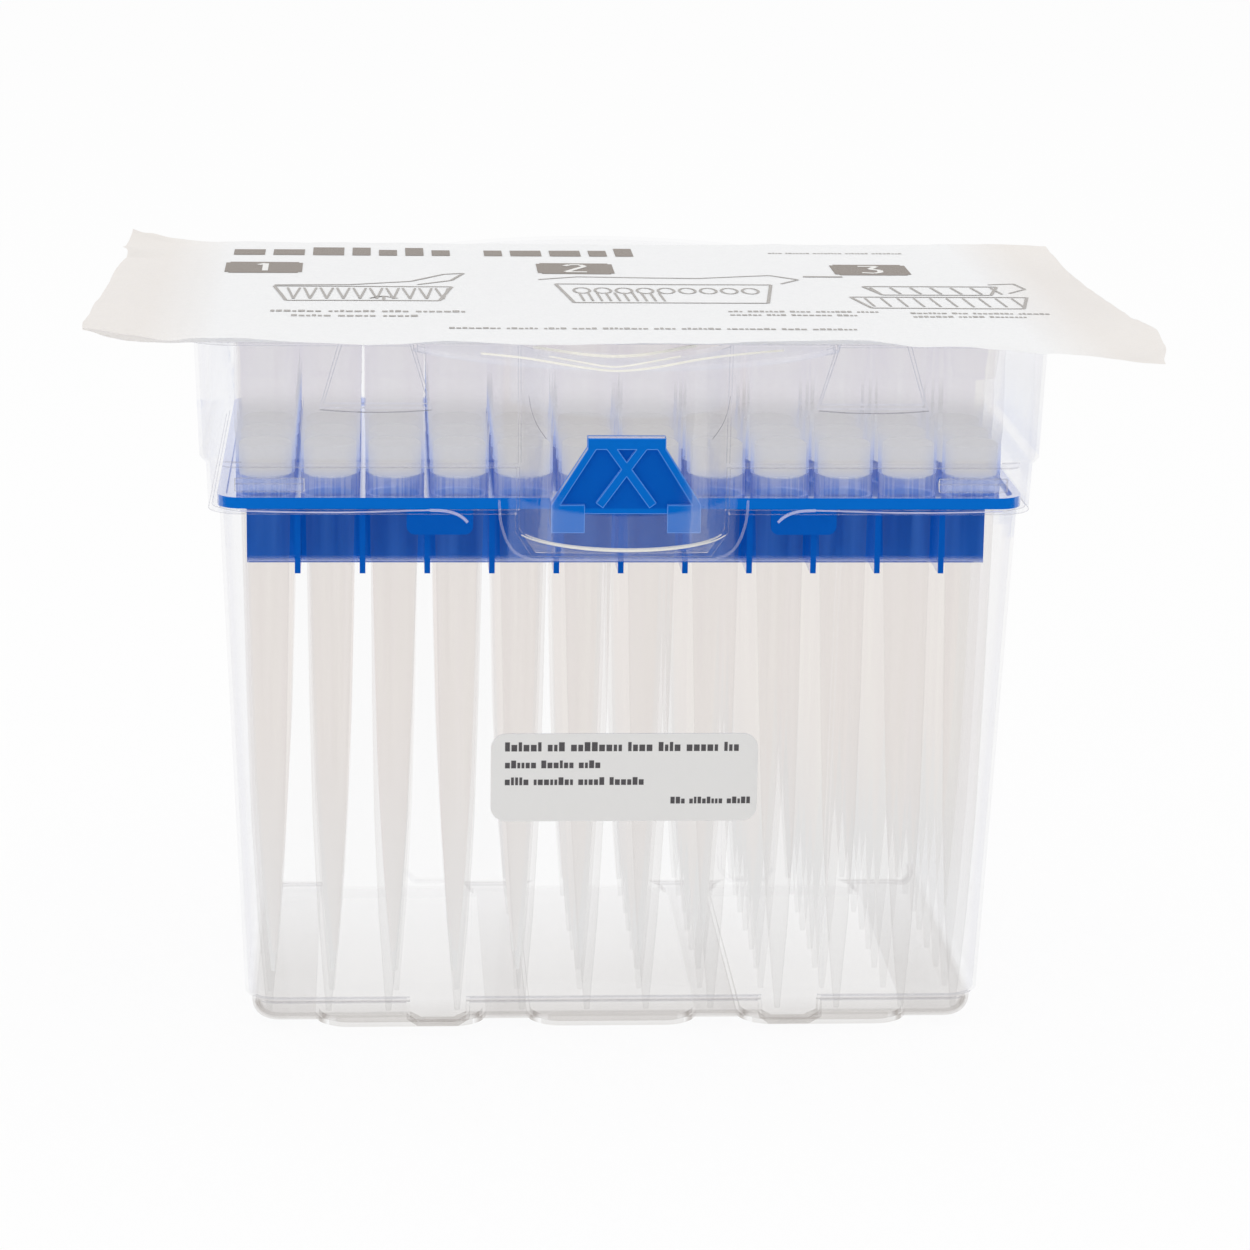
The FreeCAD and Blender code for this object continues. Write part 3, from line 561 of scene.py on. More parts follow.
def make_blue():
    """The plain skin with paler layers over it, most of them painted light, and a polish that mirrors at low
    angles.
    """
    material, tree = new_material("blue_polypropylene")
    place = position(tree)
    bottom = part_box("tip_rack")[0].z
    depth = add(tree, "Math", ABSOLUTE, {0: place["Y"]})
    behind = add(tree, "Math", BELOW, {0: depth, 1: WEB_DEPTH * MM})
    under = add(tree, "Math", BELOW, {0: place["Z"], 1: bottom + WEB_TOP * MM})
    web = all_of(tree, behind, under)
    flow = add(tree, "TexNoise", inputs={"Vector": stretched(tree, 420, 420, 25), "Scale": 1.0,
                                         "Detail": 2.0})
    painted_streaks = add(tree, "MapRange", RAMP, {"Value": flow, "From Min": 0.42, "From Max": 0.75, "To Max": 0.27})
    fade = add(tree, "MapRange", RAMP, {"Value": place["Z"], "From Min": bottom + WEB_FADE * MM,
                                        "From Max": bottom, "To Max": 0.8})
    over = add(tree, "Math", BEYOND, {0: place["Z"], 1: bottom + RIM_LOW * MM})
    rim = all_of(tree, over, add(tree, "Math", BELOW, {0: place["Z"], 1: bottom + RIM_TOP * MM}))
    braces = add(tree, "Math", BEYOND, {0: depth, 1: BRACES * MM})
    rim_brace_sheen = add(tree, "Math", LARGER, {0: rim, 1: braces})
    rear = add(tree, "Math", BEYOND, {0: place["Y"], 1: REAR_RIM * MM})
    turned = add(tree, "SeparateXYZ", inputs={0: add(tree, "TexCoord").outputs["Normal"]})
    inwards = add(tree, "Math", BELOW, {0: turned.outputs["Y"], 1: -0.5})
    layers = [
        # painted light: paler upright streaks on the web
        (all_of(tree, web, painted_streaks), add(tree, "Emission", inputs={"Color": colour("4f86dc")})),
        (all_of(tree, web, fade), add(tree, "BsdfTransparent", inputs={"Color": colour("eef2fe")})),
        # painted sheen: a brighter blue on the rim and the braces
        (all_of(tree, rim_brace_sheen, 0.3), add(tree, "Emission", inputs={"Color": colour("0c86e4")})),
        # painted reflection of the tips on the rear rim's inner face
        (all_of(tree, rear, inwards, over, 0.8), add(tree, "Emission", inputs={"Color": colour("ccd2f0")})),
    ]
    body = blue_skin(tree)
    for share, shader in layers:
        body = add(tree, "MixShader", inputs={0: share, 1: body, 2: shader})
    facing = add(tree, "LayerWeight", inputs={"Blend": 0.5}).outputs["Facing"]
    slant = add(tree, "MapRange", SOFT_RAMP, {"Value": facing, "From Min": 0.5, "From Max": 0.85,
                                              "To Max": 0.85})
    polish = add(tree, "BsdfGlossy", inputs={"Color": colour("f4f4fb"), "Roughness": 0.12})
    skin = add(tree, "MixShader", inputs={0: slant, 1: body, 2: polish})
    add(tree, "OutputMaterial", inputs={"Surface": skin})
    material.cycles.emission_sampling = "NONE"
    return material


give("tip_rack", make_blue())


# %% Painted highlights on the rack's edges
EDGE_ANGLE = math.radians(40)
EDGE_FRONT = -38.6 * MM
EDGE_RADIUS = 0.07 * MM


def rack_edge_shape(shape):
    """Rods of painted highlight where moulded edges at the front catch the light: the handle with its braces,
    the tabs and the rim.
    """
    source = welded("tip_rack")
    for edge in source.edges:
        if len(edge.link_faces) == 2 and edge.calc_face_angle(0) > EDGE_ANGLE:
            start, end = edge.verts[0].co, edge.verts[1].co
            if max(start.y, end.y) < EDGE_FRONT:
                rod(shape, start, end, EDGE_RADIUS)
    source.free()


def make_edge_highlight_blue():
    """Painted highlight along the edges: a paler, unevenly bright blue."""
    material, tree = new_material("edge_highlight_blue_polypropylene")
    highlight_patches = add(tree, "TexNoise", inputs={"Scale": 500.0, "Detail": 2.0})
    tone = add(tree, "Mix", COLOURS, {0: highlight_patches, 6: colour("1a6fd0"), 7: colour("5aa4f4")})
    skin = add(tree, "BsdfPrincipled", inputs={"Base Color": tone, "Roughness": 0.4, "IOR": 1.49})
    add(tree, "OutputMaterial", inputs={"Surface": skin})
    return material


rack_edge_highlights = piece("rack_edge_highlights", rack_edge_shape, make_edge_highlight_blue(), "blue_pp")
print("Rack edges:", len(rack_edge_highlights.data.polygons) // 4)

# %% [markdown]
# ## The tips
# Each tip is turned from one profile: a fine end, a long slender body, a fluted collar that seats in
# the rack, and a wide barrel with an open socket. Real tips never hang quite plumb, so each one leans
# a little about its seat. They share one frosted finish, which is mostly see-through: it has faint
# upright streaks, and a milky share of scattered light that grows where the skin turns away from the
# eye and in the collar. The flutes have a milkier one.

# %% Places along a tip
COLUMNS, ROWS = 12, 8
first_low, first_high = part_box("tips_column_01")
PITCH = (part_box("tips_column_12")[0].x - first_low.x) / (COLUMNS - 1)
BARREL = (first_high.x - first_low.x) / 2
FIRST = Vector((first_low.x + BARREL, first_low.y + BARREL, 0))
TIP_END, TIP_HEAD = first_low.z, first_high.z
RIB_DROP, DECK = 10.05 * MM, 0.95 * MM
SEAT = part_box("tip_rack")[0].z + RIB_DROP + DECK
print("Tips from", round(TIP_END / MM, 1), "to", round(TIP_HEAD / MM, 1), "seated at", round(SEAT / MM, 1))


# %% Frosted polypropylene
COLLAR_MILK = 0.5


def make_frosted(name, straight_on, edge_on, catches_light):
    """The two numbers are the milky share of the skin, seen straight on and edge on. Above the deck
    the skin also carries painted blue light from the rack, less and less up to the shoulder. Below it
    the front row has painted shade: darker outlines and a greyer face than the rows behind. The milky
    share is a dim painted glow, the light that wanders in the wall, greyer above the deck for painted
    shade, but the fluted skin has fine painted blue lines and catches lamp light instead."""
    material, tree = new_material(name)
    place = position(tree)
    edge = add(tree, "LayerWeight", inputs={"Blend": 0.12}).outputs["Facing"]

    def by_height(start, end, low, high):
        """Low up to one height over the seat and high from another one on, in millimetres."""
        return add(tree, "MapRange", SOFT_RAMP, {"Value": place["Z"], "From Min": SEAT + start * MM,
                                                 "From Max": SEAT + end * MM, "To Min": low, "To Max": high})

    above = add(tree, "Math", BEYOND, {0: place["Z"], 1: SEAT - 0.05 * MM})
    facing = add(tree, "LayerWeight", inputs={"Blend": 0.5}).outputs["Facing"]
    side = add(tree, "MapRange", RAMP, {"Value": facing, "From Min": 0.15, "From Max": 0.7})
    # painted blue light from the rack, strong near the deck and up the sides
    near_deck = by_height(1.6, 4.6, 0.8, 0.0)
    up_sides = all_of(tree, by_height(2, 10, 0.9, 0), side)
    blue = all_of(tree, above, add(tree, "Math", LARGER, {0: near_deck, 1: up_sides}))
    collar = all_of(tree, above, by_height(7, 11.5, COLLAR_MILK, 0.0))
    body = by_height(-70, -30, 0.0, 1.0)
    front = add(tree, "Math", BELOW, {0: place["Y"], 1: FIRST.y + PITCH / 2})
    below = all_of(tree, front, by_height(-1, 0, 1.0, 0.0))

    flow = add(tree, "TexNoise", inputs={"Vector": stretched(tree, 900, 900, 14), "Scale": 1.0,
                                         "Detail": 1.0})
    face = add(tree, "Mix", COLOURS, {0: flow, 6: colour("fefefd"), 7: colour("fbfafa")})
    # painted shade on the front row below the deck: a greyer face and darker outlines
    front_face_shade = add(tree, "Mix", COLOURS, {0: flow, 6: colour("fbfafa"), 7: colour("f8f7f6")})
    face = add(tree, "Mix", COLOURS, {0: below, 6: face, 7: front_face_shade})
    face = add(tree, "Mix", COLOURS, {0: body, 6: colour("fbfbfb"), 7: face})
    front_outline_shade = add(tree, "Mix", COLOURS, {0: body, 6: colour("f1f0f0"), 7: colour("f6f5f5")})
    outline = add(tree, "Mix", COLOURS, {0: below, 6: colour("fdfcfc"), 7: front_outline_shade})
    outline = add(tree, "Mix", COLOURS, {0: by_height(7, 11, 0.0, 1.0), 6: outline, 7: colour("faf9fb")})
    tint = add(tree, "Mix", COLOURS, {0: edge, 6: face, 7: outline})
    tint = add(tree, "Mix", COLOURS, {0: blue, 6: tint, 7: colour("e4e9fc")})
    clear = add(tree, "BsdfTransparent", inputs={"Color": tint})

    if catches_light:
        comb = add(tree, "TexNoise", inputs={"Vector": stretched(tree, 2600, 2600, 20), "Scale": 1.0,
                                             "Detail": 0.0})
        teeth = add(tree, "MapRange", RAMP, {"Value": comb, "From Min": 0.4, "From Max": 0.6})
        # painted blue light from the rack, broken into fine upright lines
        lined = add(tree, "Mix", COLOURS, {0: teeth, 6: colour("a6bcf2"), 7: colour("e2e8fd")})
        tone = add(tree, "Mix", COLOURS, {0: blue, 6: colour("eeeef0"), 7: lined})
        milk = add(tree, "BsdfDiffuse", inputs={"Color": tone})
    else:
        # painted shade: the glow is greyer above the deck
        pale = add(tree, "Mix", COLOURS, {0: above, 6: colour("efecea"), 7: colour("cac9cc")})
        tone = add(tree, "Mix", COLOURS, {0: blue, 6: pale, 7: colour("9db0e6")})
        milk = add(tree, "Emission", inputs={"Color": tone})
    share = add(tree, "MapRange", RAMP, {"Value": edge, "From Max": 0.6, "To Min": straight_on,
                                         "To Max": edge_on})
    milky = add(tree, "Math", LARGER, {0: share, 1: collar})
    skin = add(tree, "MixShader", inputs={0: milky, 1: clear, 2: milk})
    # painted glow past the deepest skin, greyer up the barrels than low on the tips
    high = by_height(-12, 8, 0.0, 1.0)
    haze = add(tree, "Mix", COLOURS, {0: high, 6: colour("faf8f7"), 7: colour("ecebf1")})
    finish_clear(material, skin, haze)
    return material


frosted = make_frosted("frosted_polypropylene", 0.006, 0.015, False)
fluted = make_frosted("fluted_polypropylene", 0.5, 0.65, True)


# %% Porous polyethylene
def make_porous():
    """Sintered from fine beads: matt, finely pitted, with a painted glow for the light that reaches it
    through the frosted collar.
    """
    material, tree = new_material("porous_polyethylene")
    pores = add(tree, "TexVoronoi", inputs={"Scale": 5000.0})
    tone = add(tree, "Mix", COLOURS, {0: pores, 6: colour("efedea"), 7: colour("fbfaf8")})
    bump = add(tree, "Bump", inputs={"Strength": 0.3, "Distance": 0.00005, "Height": pores})
    body = add(tree, "BsdfPrincipled", inputs={"Base Color": tone, "Roughness": 0.9, "Normal": bump})
    # painted glow for the light that comes through the collar
    glow = add(tree, "Emission", inputs={"Color": colour("cbcacb")})
    skin = add(tree, "MixShader", inputs={0: 0.6, 1: body, 2: glow})
    add(tree, "OutputMaterial", inputs={"Surface": skin})
    material.cycles.emission_sampling = "NONE"
    return material


porous = make_porous()
print("Tip finishes:", frosted.name, fluted.name, porous.name)

# %% Shape of one tip
SEGMENTS = 48
FLUTE = 0.22 * MM
COLLAR, NECK, BORE = BARREL - 0.15 * MM, BARREL - 0.8 * MM, BARREL - 1.25 * MM
FLUTED_RINGS = range(7, 10)
# radius, height and the depth of the flutes there, from the end up and down into the socket
TIP_PROFILE = [
    (0.2 * MM, TIP_END, 0), (0.4 * MM, TIP_END + 0.05 * MM, 0), (0.98 * MM, TIP_END + 7 * MM, 0),
    (NECK - 1.9 * MM, TIP_END + 14 * MM, 0), (NECK - 1.075 * MM, TIP_END + 29 * MM, 0),
    (NECK - 0.6 * MM, SEAT - 30 * MM, 0), (NECK, SEAT, 0), (COLLAR - 0.05 * MM, SEAT, 0.7 * FLUTE),
    (COLLAR, SEAT + 0.3 * MM, FLUTE), (COLLAR, SEAT + 2.7 * MM, FLUTE), (COLLAR, SEAT + 3.1 * MM, 0),
    (COLLAR, SEAT + 7.5 * MM, 0), (BARREL - 0.08 * MM, SEAT + 8.6 * MM, 0), (BARREL, SEAT + 8.9 * MM, 0),
    (BARREL, TIP_HEAD - 0.1 * MM, 0), (BARREL - 0.1 * MM, TIP_HEAD, 0), (BARREL - 0.7 * MM, TIP_HEAD, 0),
    (BORE, TIP_HEAD - 5 * MM, 0),
]


def close_skin(shape, rings, fluted_rings=()):
    """Faces from each ring of vertices to the next, and a cap on the first and the last ring."""
    count = len(rings[0])
    for number, (lower, upper) in enumerate(zip(rings, rings[1:])):
        for step in range(count):
            after = (step + 1) % count
            face = shape.faces.new((lower[step], lower[after], upper[after], upper[step]))
            face.material_index = int(number in fluted_rings)
    shape.faces.new(rings[0][::-1])
    shape.faces.new(rings[-1])


def tip_shape(shape, centre, lean):
    """One closed skin, leaning so that its end stands aside by lean."""
    rings = []
    for radius, height, flute in TIP_PROFILE:
        circle = []
        for step in range(SEGMENTS):
            angle = math.tau * step / SEGMENTS
            out = radius - (flute if step % 2 else 0)
            circle.append(shape.verts.new((out * math.cos(angle), out * math.sin(angle), height)))
        rings.append(circle)
    close_skin(shape, rings, FLUTED_RINGS)
    made = [vertex for circle in rings for vertex in circle]
    length = SEAT - TIP_END
    turn = (Matrix.Rotation(-math.atan2(lean.x, length), 3, "Y")
            @ Matrix.Rotation(math.atan2(lean.y, length), 3, "X"))
    bmesh.ops.rotate(shape, verts=made, cent=(0, 0, SEAT), matrix=turn)
    bmesh.ops.translate(shape, verts=made, vec=centre)


# %% Twelve columns of eight
# how far the end of each front tip stands aside, in millimetres
FRONT_LEAN = (0, -0.5, -0.9, 0, 0.35, 0.75, 0.3, 0.7, 1.4, 1.0, 1.4, 0)
chance = random.Random(96)


def tip_column(column):
    def fill(shape):
        for row in range(ROWS):
            lean = Vector((chance.uniform(-0.3, 0.3), chance.uniform(-0.3, 0.3), 0))
            if row == 0:
                lean = Vector((FRONT_LEAN[column], 0, 0))
            tip_shape(shape, FIRST + Vector((column, row, 0)) * PITCH, lean * MM)
        bmesh.ops.recalc_face_normals(shape, faces=shape.faces)
    return fill


for column in range(COLUMNS):
    number = f"{column + 1:02d}"
    made = piece(f"tips_{number}", tip_column(column), frosted, "tip_pp", f"tips_column_{number}")
    made.data.materials.append(fluted)
    smooth(made, 35)
print("Tips:", COLUMNS * ROWS, "with", len(made.data.polygons) // ROWS, "faces each")


# %% [markdown]
# ## The filters
# A short plug of sintered polyethylene sits in each collar. It is white, matt and finely pitted, and
# it shows through the frosted skin as a paler block.

# %% Ninety-six plugs
filter_low, filter_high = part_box("filters_column_01")
# each plug's rings: share of its radius, and share of its height
PLUG_RINGS = [(0.85, 0.0), (1.0, 0.06), (1.0, 0.94), (0.9, 1.0)]
PLUG_RADIUS = COLLAR - 0.45 * MM
PLUG_SEGMENTS = 24


def filter_shape(shape):
    """Round plugs that fill the collars, each with a slightly worn rim."""
    for column in range(COLUMNS):
        for row in range(ROWS):
            centre = FIRST + Vector((column, row, 0)) * PITCH
            circles = []
            for wide, up in PLUG_RINGS:
                radius = PLUG_RADIUS * wide
                height = filter_low.z + (filter_high.z - filter_low.z) * up
                circle = []
                for step in range(PLUG_SEGMENTS):
                    angle = math.tau * step / PLUG_SEGMENTS
                    offset = Vector((radius * math.cos(angle), radius * math.sin(angle), height))
                    circle.append(shape.verts.new(centre + offset))
                circles.append(circle)
            close_skin(shape, circles)


filters = piece("filters", filter_shape, porous, "filter_pe",
                *[f"filters_column_{number:02d}" for number in range(1, COLUMNS + 1)])
smooth(filters)
print("Filters:", COLUMNS * ROWS)

# %% [markdown]
# ## The peel film
# The lid is a spun-bonded sheet, sealed along the tray's flange. It is taut between the seals, and
# its free edge beyond them has taken on waves: it curls up at the front left, hangs a little at the
# front right, and has a small fold at the rear left. One fine grid follows a height function, so the
# print can be laid on it with the same function. Cloth simulation isn't needed for a sheet this stiff.

# %% Height of the film
film_low, film_high = (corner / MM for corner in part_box("lid_film"))
# how far over the flange the lowest flat parts of the film lie, in millimetres
FILM_GAP = 0.12
FILM_Z = (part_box("tray")[1] / MM).z + FILM_GAP
# half the width and depth inside which the film is sealed
SEAL_X, SEAL_Y = 61.1, 43.1
OVER_X = film_high.x - SEAL_X
OVER_FRONT, OVER_REAR = -SEAL_Y - film_low.y, film_high.y - SEAL_Y
# how high each free edge stands over the seal, in millimetres, along its own length
FRONT_EDGE = [(-73.7, 3.5), (-67.4, 2.2), (-61.8, 1.6), (-58.3, 2.0), (-52.6, 2.05), (-40.5, 1.55),
              (-33.7, 1.2), (-22.9, 1.75), (-13.5, 1.25), (8.5, 1.6), (19.9, 1.8), (30.6, 1.95),
              (39.4, 1.15), (45.1, 1.3), (49.7, 0.95), (56.1, 0.35), (72.2, -0.85)]
REAR_EDGE = [(-73.7, 3.0), (-70, 1.2), (-66, 0.4), (-60, 0.1), (-40, 0.0), (0, -0.05), (40, 0.0),
             (73.7, 0.4)]
LEFT_EDGE = [(-53, 3.2), (-40, 1.1), (-20, 0.2), (0, -0.3), (20, 0.4), (31, 0.0), (34, 1.2), (40, 0.6),
             (48, 1.6)]
RIGHT_EDGE = [(-53, -1.2), (-38, -0.1), (-10, -0.7), (20, -0.9), (48, -0.2)]


def film_height(x, y):
    """Height of the film over a point, all in millimetres."""
    out_x = max(0.0, abs(x) - SEAL_X) / OVER_X
    out_y = max(0.0, -SEAL_Y - y) / OVER_FRONT + max(0.0, y - SEAL_Y) / OVER_REAR
    side = between(y, LEFT_EDGE if x < 0 else RIGHT_EDGE)
    end = between(x, FRONT_EDGE if y < 0 else REAR_EDGE)
    out = min(1.0, max(out_x, out_y))
    total = out_x ** 2 + out_y ** 2
    lift = (out_x ** 2 * side + out_y ** 2 * end) / total if total else 0.0
    slack = noise.noise(Vector((x * 0.045, y * 0.06, 3.0))) * 0.15
    ripple = noise.noise(Vector((x * 0.16, y * 0.16, 8.0))) * 0.15
    fine = noise.noise(Vector((x * 0.5, y * 0.5, 15.0))) * 0.05
    rest = 0.05 + 0.05 * noise.noise(Vector((x * 0.05, y * 0.09, 21.0)))
    return FILM_Z + rest + lift * out * out * (1.6 - 0.6 * out) + (slack + ripple) * out + fine * (0.15 + out)


# %% Film sheet
# how far each side cut strays from straight along the depth, in millimetres
LEFT_CUT = [(-53, 0.8), (-33, -0.5), (-15, -0.4), (-3, 0.0), (10, 0.5), (26, 1.1), (33, 1.6), (36, 0.6),
            (48, 1.5)]
RIGHT_CUT = [(-53, -1.5), (-42, 0.4), (-30, 1.5), (-16, 0.2), (10, -1.0), (30, -1.6), (48, -1.5)]
CELLS_X, CELLS_Y = 168, 116


def film_edge(x, y):
    """Where a point of the flat sheet lies once its cut edges are a little uneven."""
    out_x = max(0.0, abs(x) - SEAL_X) / OVER_X
    bulge_x = between(y, LEFT_CUT if x < 0 else RIGHT_CUT)
    out_y = max(0.0, abs(y + 2.5) - SEAL_Y + 3) / (OVER_REAR + 3)
    bulge_y = noise.noise(Vector((x * 0.035, 5.0 if y < 0 else 9.0, 50.0))) * 1.2
    return x + bulge_x * out_x, y + bulge_y * min(out_y, 1.0) * 0.6


def film_shape(shape):
    """A fine grid over the whole flange, set on the height function."""
    bmesh.ops.create_grid(shape, x_segments=CELLS_X, y_segments=CELLS_Y, size=0.5)
    middle = (film_low + film_high) / 2
    size = film_high - film_low
    for vertex in shape.verts:
        x, y = film_edge(middle.x + vertex.co.x * size.x, middle.y + vertex.co.y * size.y)
        vertex.co = Vector((x, y, film_height(x, y))) * MM


# where the film turns from sealed to free, aside from the middle, in millimetres
SEALED_TO, FREE_FROM = 56, 66


def make_film_material():
    """Spun-bonded sheet: swirled fibres a tenth of a millimetre across, with a painted cool cast over the
    box, where what lies beneath shows through.
    """
    material, tree = new_material("spun_bonded_film")
    swirl = add(tree, "TexNoise", inputs={"Scale": 160.0, "Detail": 4.0, "Distortion": 2.5})
    fibre = add(tree, "TexNoise", inputs={"Vector": stretched(tree, 700, 1900, 900), "Scale": 1.0,
                                          "Detail": 3.0, "Distortion": 1.5})
    # painted cool cast over the box, where what lies beneath shows through; the overhang keeps the sheet's
    # warm tone
    cool = add(tree, "Mix", COLOURS, {0: swirl, 6: colour("e9eaeb"), 7: colour("fbfbfb")})
    warm = add(tree, "Mix", COLOURS, {0: swirl, 6: colour("e6e1db"), 7: colour("f6f2ee")})
    aside = add(tree, "Math", ABSOLUTE, {0: position(tree)["X"]})
    free = add(tree, "MapRange", RAMP, {"Value": aside, "From Min": SEALED_TO * MM,
                                        "From Max": FREE_FROM * MM})
    tone = add(tree, "Mix", COLOURS, {0: free, 6: cool, 7: warm})
    height = add(tree, "Math", {"operation": "ADD"}, {0: swirl, 1: fibre})
    bump = add(tree, "Bump", inputs={"Strength": 0.6, "Distance": 0.00012, "Height": height})
    sheet = add(tree, "BsdfPrincipled", inputs={"Base Color": tone, "Roughness": 0.75, "Normal": bump})
    through = add(tree, "BsdfTranslucent", inputs={"Color": colour("f3efec"), "Normal": bump})
    share = add(tree, "MapRange", RAMP, {"Value": free, "To Min": 0.06, "To Max": 0.25})
    skin = add(tree, "MixShader", inputs={0: share, 1: sheet, 2: through})
    add(tree, "OutputMaterial", inputs={"Surface": skin})
    return material


film = piece("film", film_shape, make_film_material(), "lid_film", "lid_film")
smooth(film, 60)
print("Film:", len(film.data.polygons), "faces")


# %% [markdown]
# ### Print on the film
# The print is a plain generic set of opening steps: a heading, three numbered badges with line
# drawings, and rows of small upright marks where a text would be. Each stroke is a ribbon that
# follows the film's height, up to a tenth of a millimetre above it, so it bends with every wave.

# %% Ribbons
def ribbon(shape, points, width, height_at, above, step=1.5):
    """Lay a flat ribbon along straight runs, cut into steps so that it follows the surface."""
    for (x0, y0), (x1, y1) in zip(points, points[1:]):
        length = math.hypot(x1 - x0, y1 - y0)
        if length == 0:
            continue
        across = Vector((y0 - y1, x1 - x0, 0)) / length * width / 2
        count = max(1, math.ceil(length / step))
        pairs = []
        for part in range(count + 1):
            middle = Vector((x0 + (x1 - x0) * part / count, y0 + (y1 - y0) * part / count, 0))
            pair = []
            for side in (middle + across, middle - across):
                pair.append(shape.verts.new(height_at(side.x, side.y, above) * MM))
            pairs.append(pair)
        for (a, b), (c, d) in zip(pairs, pairs[1:]):
            shape.faces.new((a, b, d, c))


def on_film(x, y, above):
    return Vector((x, y, film_height(x, y) + above))


def text_bars(shape, x, y, length, height, height_at, above, seed):
    """A line of type too small to read: upright marks in groups, a third of them taller."""
    marks = random.Random(seed)
    place = x
    while place < x + length - height:
        for _ in range(marks.randint(3, 8)):
            tall = height * marks.choice((0.72, 0.72, 1.0))
            wide = height * marks.choice((0.35, 0.5, 0.6))
            ribbon(shape, [(place, y + tall / 2), (place + wide, y + tall / 2)], tall, height_at, above)
            place += wide + 0.16 * height
        place += 0.5 * height


# %% Badges, numerals and heading
BADGES = [(-51, 22, "1"), (-4, 22, "2"), (41, 22, "3")]
NUMERALS = {"1": [(-0.8, 1.4), (0.2, 2.2), (0.2, -2.2)],
            "2": [(-1.4, 1.4), (-0.6, 2.2), (0.8, 2.2), (1.4, 1.2), (-1.4, -2.2), (1.5, -2.2)],
            "3": [(-1.4, 2.1), (1.2, 2.1), (0.0, 0.4), (1.3, -0.4), (1.2, -1.7), (0.2, -2.2), (-1.4, -1.9)]}
# how far badges and type, lines, and the numerals on the badges stand over the film, in millimetres
TYPE_LIFT, LINE_LIFT, NUMERAL_LIFT = 0.06, 0.07, 0.1
# from a badge's middle to the end of its full height, and to its own end
BADGE_HALF, BADGE_END = 5.2, 5.8


def badge_shape(shape):
    """A solid block behind each numeral, with its corners taken off, and the heading."""
    for x, y, _ in BADGES:
        ribbon(shape, [(x - BADGE_HALF, y), (x + BADGE_HALF, y)], 10.5, on_film, TYPE_LIFT)
        ribbon(shape, [(x - BADGE_END, y), (x - BADGE_HALF, y)], 9.0, on_film, TYPE_LIFT)
        ribbon(shape, [(x + BADGE_HALF, y), (x + BADGE_END, y)], 9.0, on_film, TYPE_LIFT)
    text_bars(shape, -56, 34.5, 70, 8.0, on_film, TYPE_LIFT, 5)


def numeral_shape(shape):
    for x, y, number in BADGES:
        strokes = [(x + across * 1.1, y + up * 1.6) for across, up in NUMERALS[number]]
        ribbon(shape, strokes, 0.9, on_film, NUMERAL_LIFT)


# %% Line drawings
def open_box(x, y, width, height):
    """The outline of a tray, wider at its top, hung from the middle of its top edge."""
    return [(x - width / 2, y), (x - width / 2 + 2, y - height), (x + width / 2 - 2, y - height),
            (x + width / 2, y), (x - width / 2, y)]


def drawing_shape(shape):
    """Step 1: a sheet peels off a box. Step 2: wells in a row. Step 3: a box is set down."""
    def draw(points, width):
        ribbon(shape, points, width, on_film, LINE_LIFT)

    draw(open_box(-36, 4, 26, 13), 0.5)
    draw([(-49, 5), (-38, 5.5), (-29, 9), (-24, 16), (-21, 17), (-23, 10), (-28, 6)], 0.5)
    for tick in range(10):
        left, middle, right = -47 + tick * 2.4, -4.5 + tick * 1.3, 37 + tick * 2.4
        draw([(left, 2.5), (left + 1, -7.5), (left + 1.8, 2.5)], 0.35)
        draw([(middle, -1), (middle + 0.4, -8.5)], 0.35)
        draw([(right, -5), (right + 0.6, -12.5)], 0.35)
    draw([(-33, -9), (-33, -5), (-35, -7), (-33, -5), (-31, -7)], 0.45)
    for well in range(9):
        circle = []
        for step in range(13):
            angle = math.tau * step / 12
            circle.append((-4 + well * 3.1 + 1.2 * math.cos(angle), 1 + 2.6 * math.sin(angle)))
        draw(circle, 0.4)
    draw(open_box(8.4, 7, 32, 17), 0.5)
    draw([(-10, 11), (-4, 14), (14, 13), (25, 16), (29, 12), (26, 8)], 0.45)
    draw(open_box(48, 6, 20, 8), 0.5)
    draw(open_box(48, -4, 26, 10), 0.5)
    for well in range(7):
        draw([(39 + well * 3, 5), (39.8 + well * 3, -1)], 0.45)
    draw([(30, 15), (36, 15)], 1.0)
    draw([(57, 8), (61, 9), (62, 4), (59, 0)], 0.45)


# %% Small print
# the left end, place along the depth, length and size of each line
SMALL_PRINT = [(-49, -19, 24, 1.6), (-46, -23, 20, 1.6), (16, -18, 22, 1.2), (16, -21, 17, 1.2),
               (42, -19, 20, 1.2), (42, -22, 18, 1.2), (-24, -33, 54, 1.3), (27, 38.5, 18, 0.9)]


def small_print_shape(shape):
    for x, y, length, size in SMALL_PRINT:
        text_bars(shape, x, y, length, size, on_film, TYPE_LIFT, int(x + 100 * y))


# %% Inks, and the print pieces
def make_ink(name, light, dark, grain_scale):
    """Ink that the fibres took up unevenly: it breaks up at the size of the grain."""
    material, tree = new_material(name)
    grain = add(tree, "TexNoise", inputs={"Scale": grain_scale, "Detail": 3.0})
    spots = add(tree, "MapRange", RAMP, {"Value": grain, "From Min": 0.4, "From Max": 0.62})
    tone = add(tree, "Mix", COLOURS, {0: spots, 6: colour(dark), 7: colour(light)})
    skin = add(tree, "BsdfPrincipled", inputs={"Base Color": tone, "Roughness": 0.8})
    add(tree, "OutputMaterial", inputs={"Surface": skin})
    return material


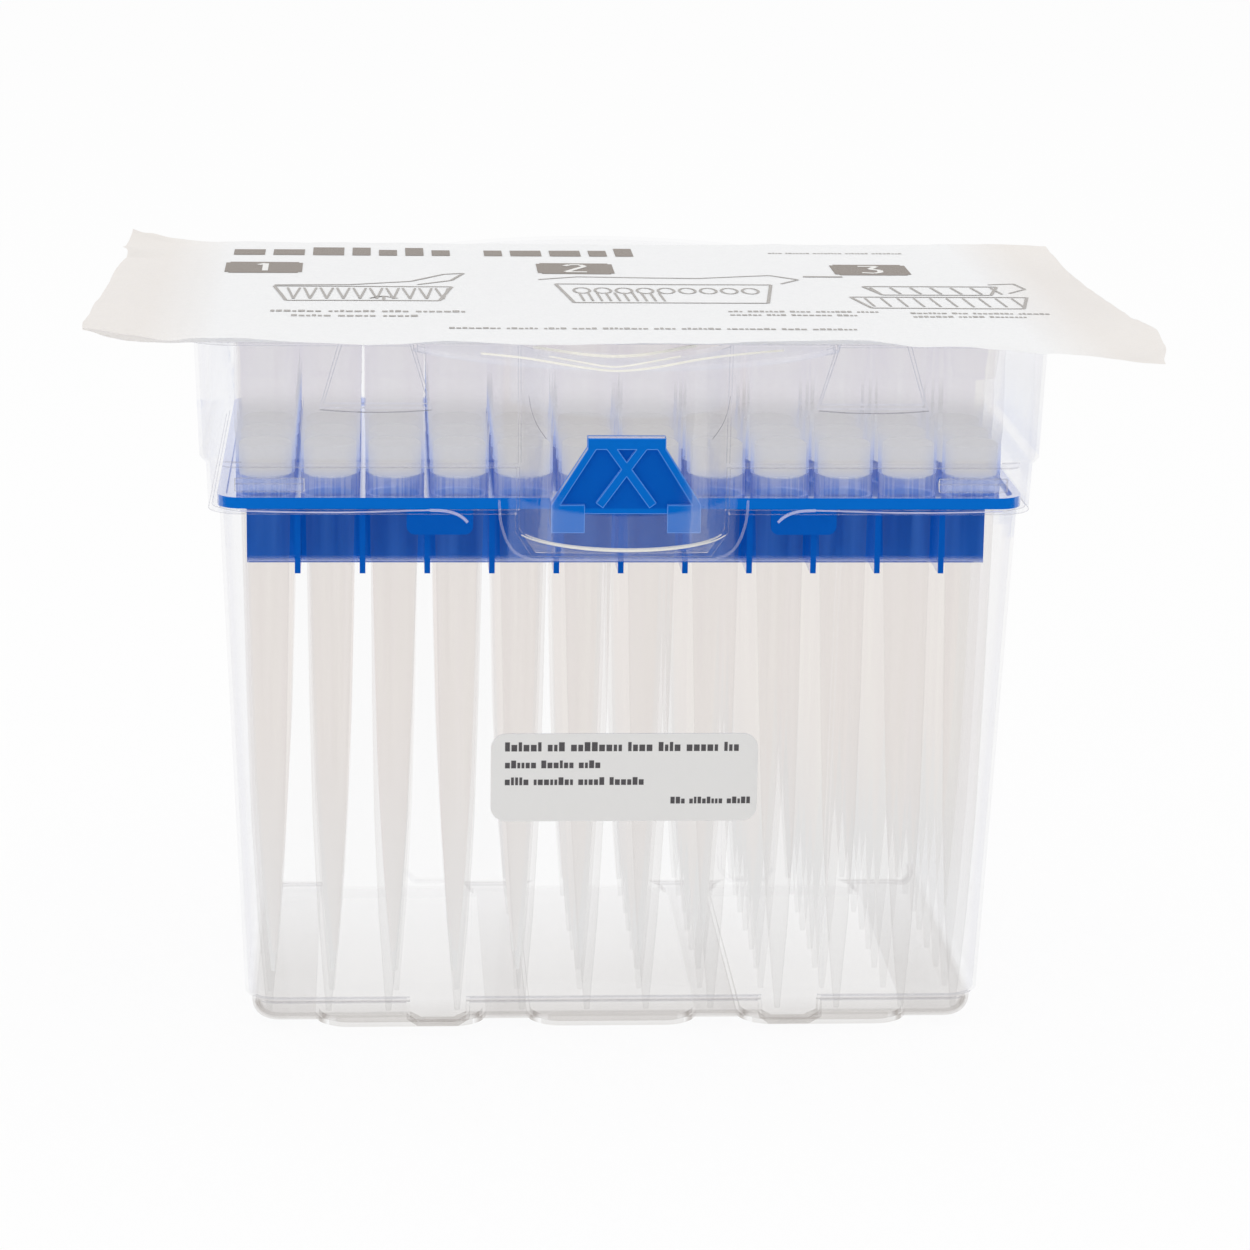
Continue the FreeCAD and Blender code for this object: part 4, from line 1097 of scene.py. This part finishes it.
film_ink = make_ink("film_ink", "a8a19b", "7d746d", 2600.0)
faint_ink = make_ink("faint_film_ink", "cfccc9", "8f8a86", 1500.0)
numeral_ink = make_ink("bare_film", "f4f3f1", "e8e6e3", 2600.0)
print_pieces = [
    piece("film_badges", badge_shape, film_ink, "lid_film"),
    piece("film_numerals", numeral_shape, numeral_ink, "lid_film"),
    piece("film_drawings", drawing_shape, faint_ink, "lid_film"),
    piece("film_small_print", small_print_shape, faint_ink, "lid_film"),
]
print("Print pieces:", len(print_pieces))

# %% [markdown]
# ## The label
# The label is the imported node, in pale grey paper. Its four lines of type are rows of small upright
# marks, laid on the paper's slanting front face.

# %% Label
label_low, label_high = (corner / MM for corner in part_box("label"))
# the paper's thickness, and how far the type stands over it, in millimetres
PAPER = 0.15
LABEL_LIFT = 0.02
# how far each line of type starts from the label's left and top edge, its length, size and seed
LABEL_LINES = [(2.0, 2.6, 34.0, 1.35, 11), (2.0, 5.1, 14.0, 1.15, 12), (2.0, 7.6, 17.5, 1.15, 13),
               (25.5, 10.4, 10.5, 1.0, 14)]


def on_label(x, z, above):
    """A point on the label's face, from its place across and its height."""
    share = (z - label_low.z) / (label_high.z - label_low.z)
    y = label_high.y - PAPER + (label_low.y - label_high.y + PAPER) * share
    return Vector((x, y - above, z))


def label_print_shape(shape):
    for across, down, length, size, seed in LABEL_LINES:
        text_bars(shape, label_low.x + across, label_high.z - down, length, size, on_label, LABEL_LIFT, seed)


def make_paper():
    """Smooth pale grey paper, with its pulp barely showing."""
    material, tree = new_material("label_paper")
    pulp = add(tree, "TexNoise", inputs={"Scale": 900.0, "Detail": 4.0})
    tone = add(tree, "Mix", COLOURS, {0: pulp, 6: colour("dcdbd9"), 7: colour("e4e3e1")})
    skin = add(tree, "BsdfPrincipled", inputs={"Base Color": tone, "Roughness": 0.6})
    add(tree, "OutputMaterial", inputs={"Surface": skin})
    return material


give("label", make_paper())
piece("label_print", label_print_shape, make_ink("label_ink", "5c595a", "3c3a3e", 4000.0), "label_paper")
print("Label from", [round(value, 1) for value in label_low], "to", [round(value, 1) for value in label_high])
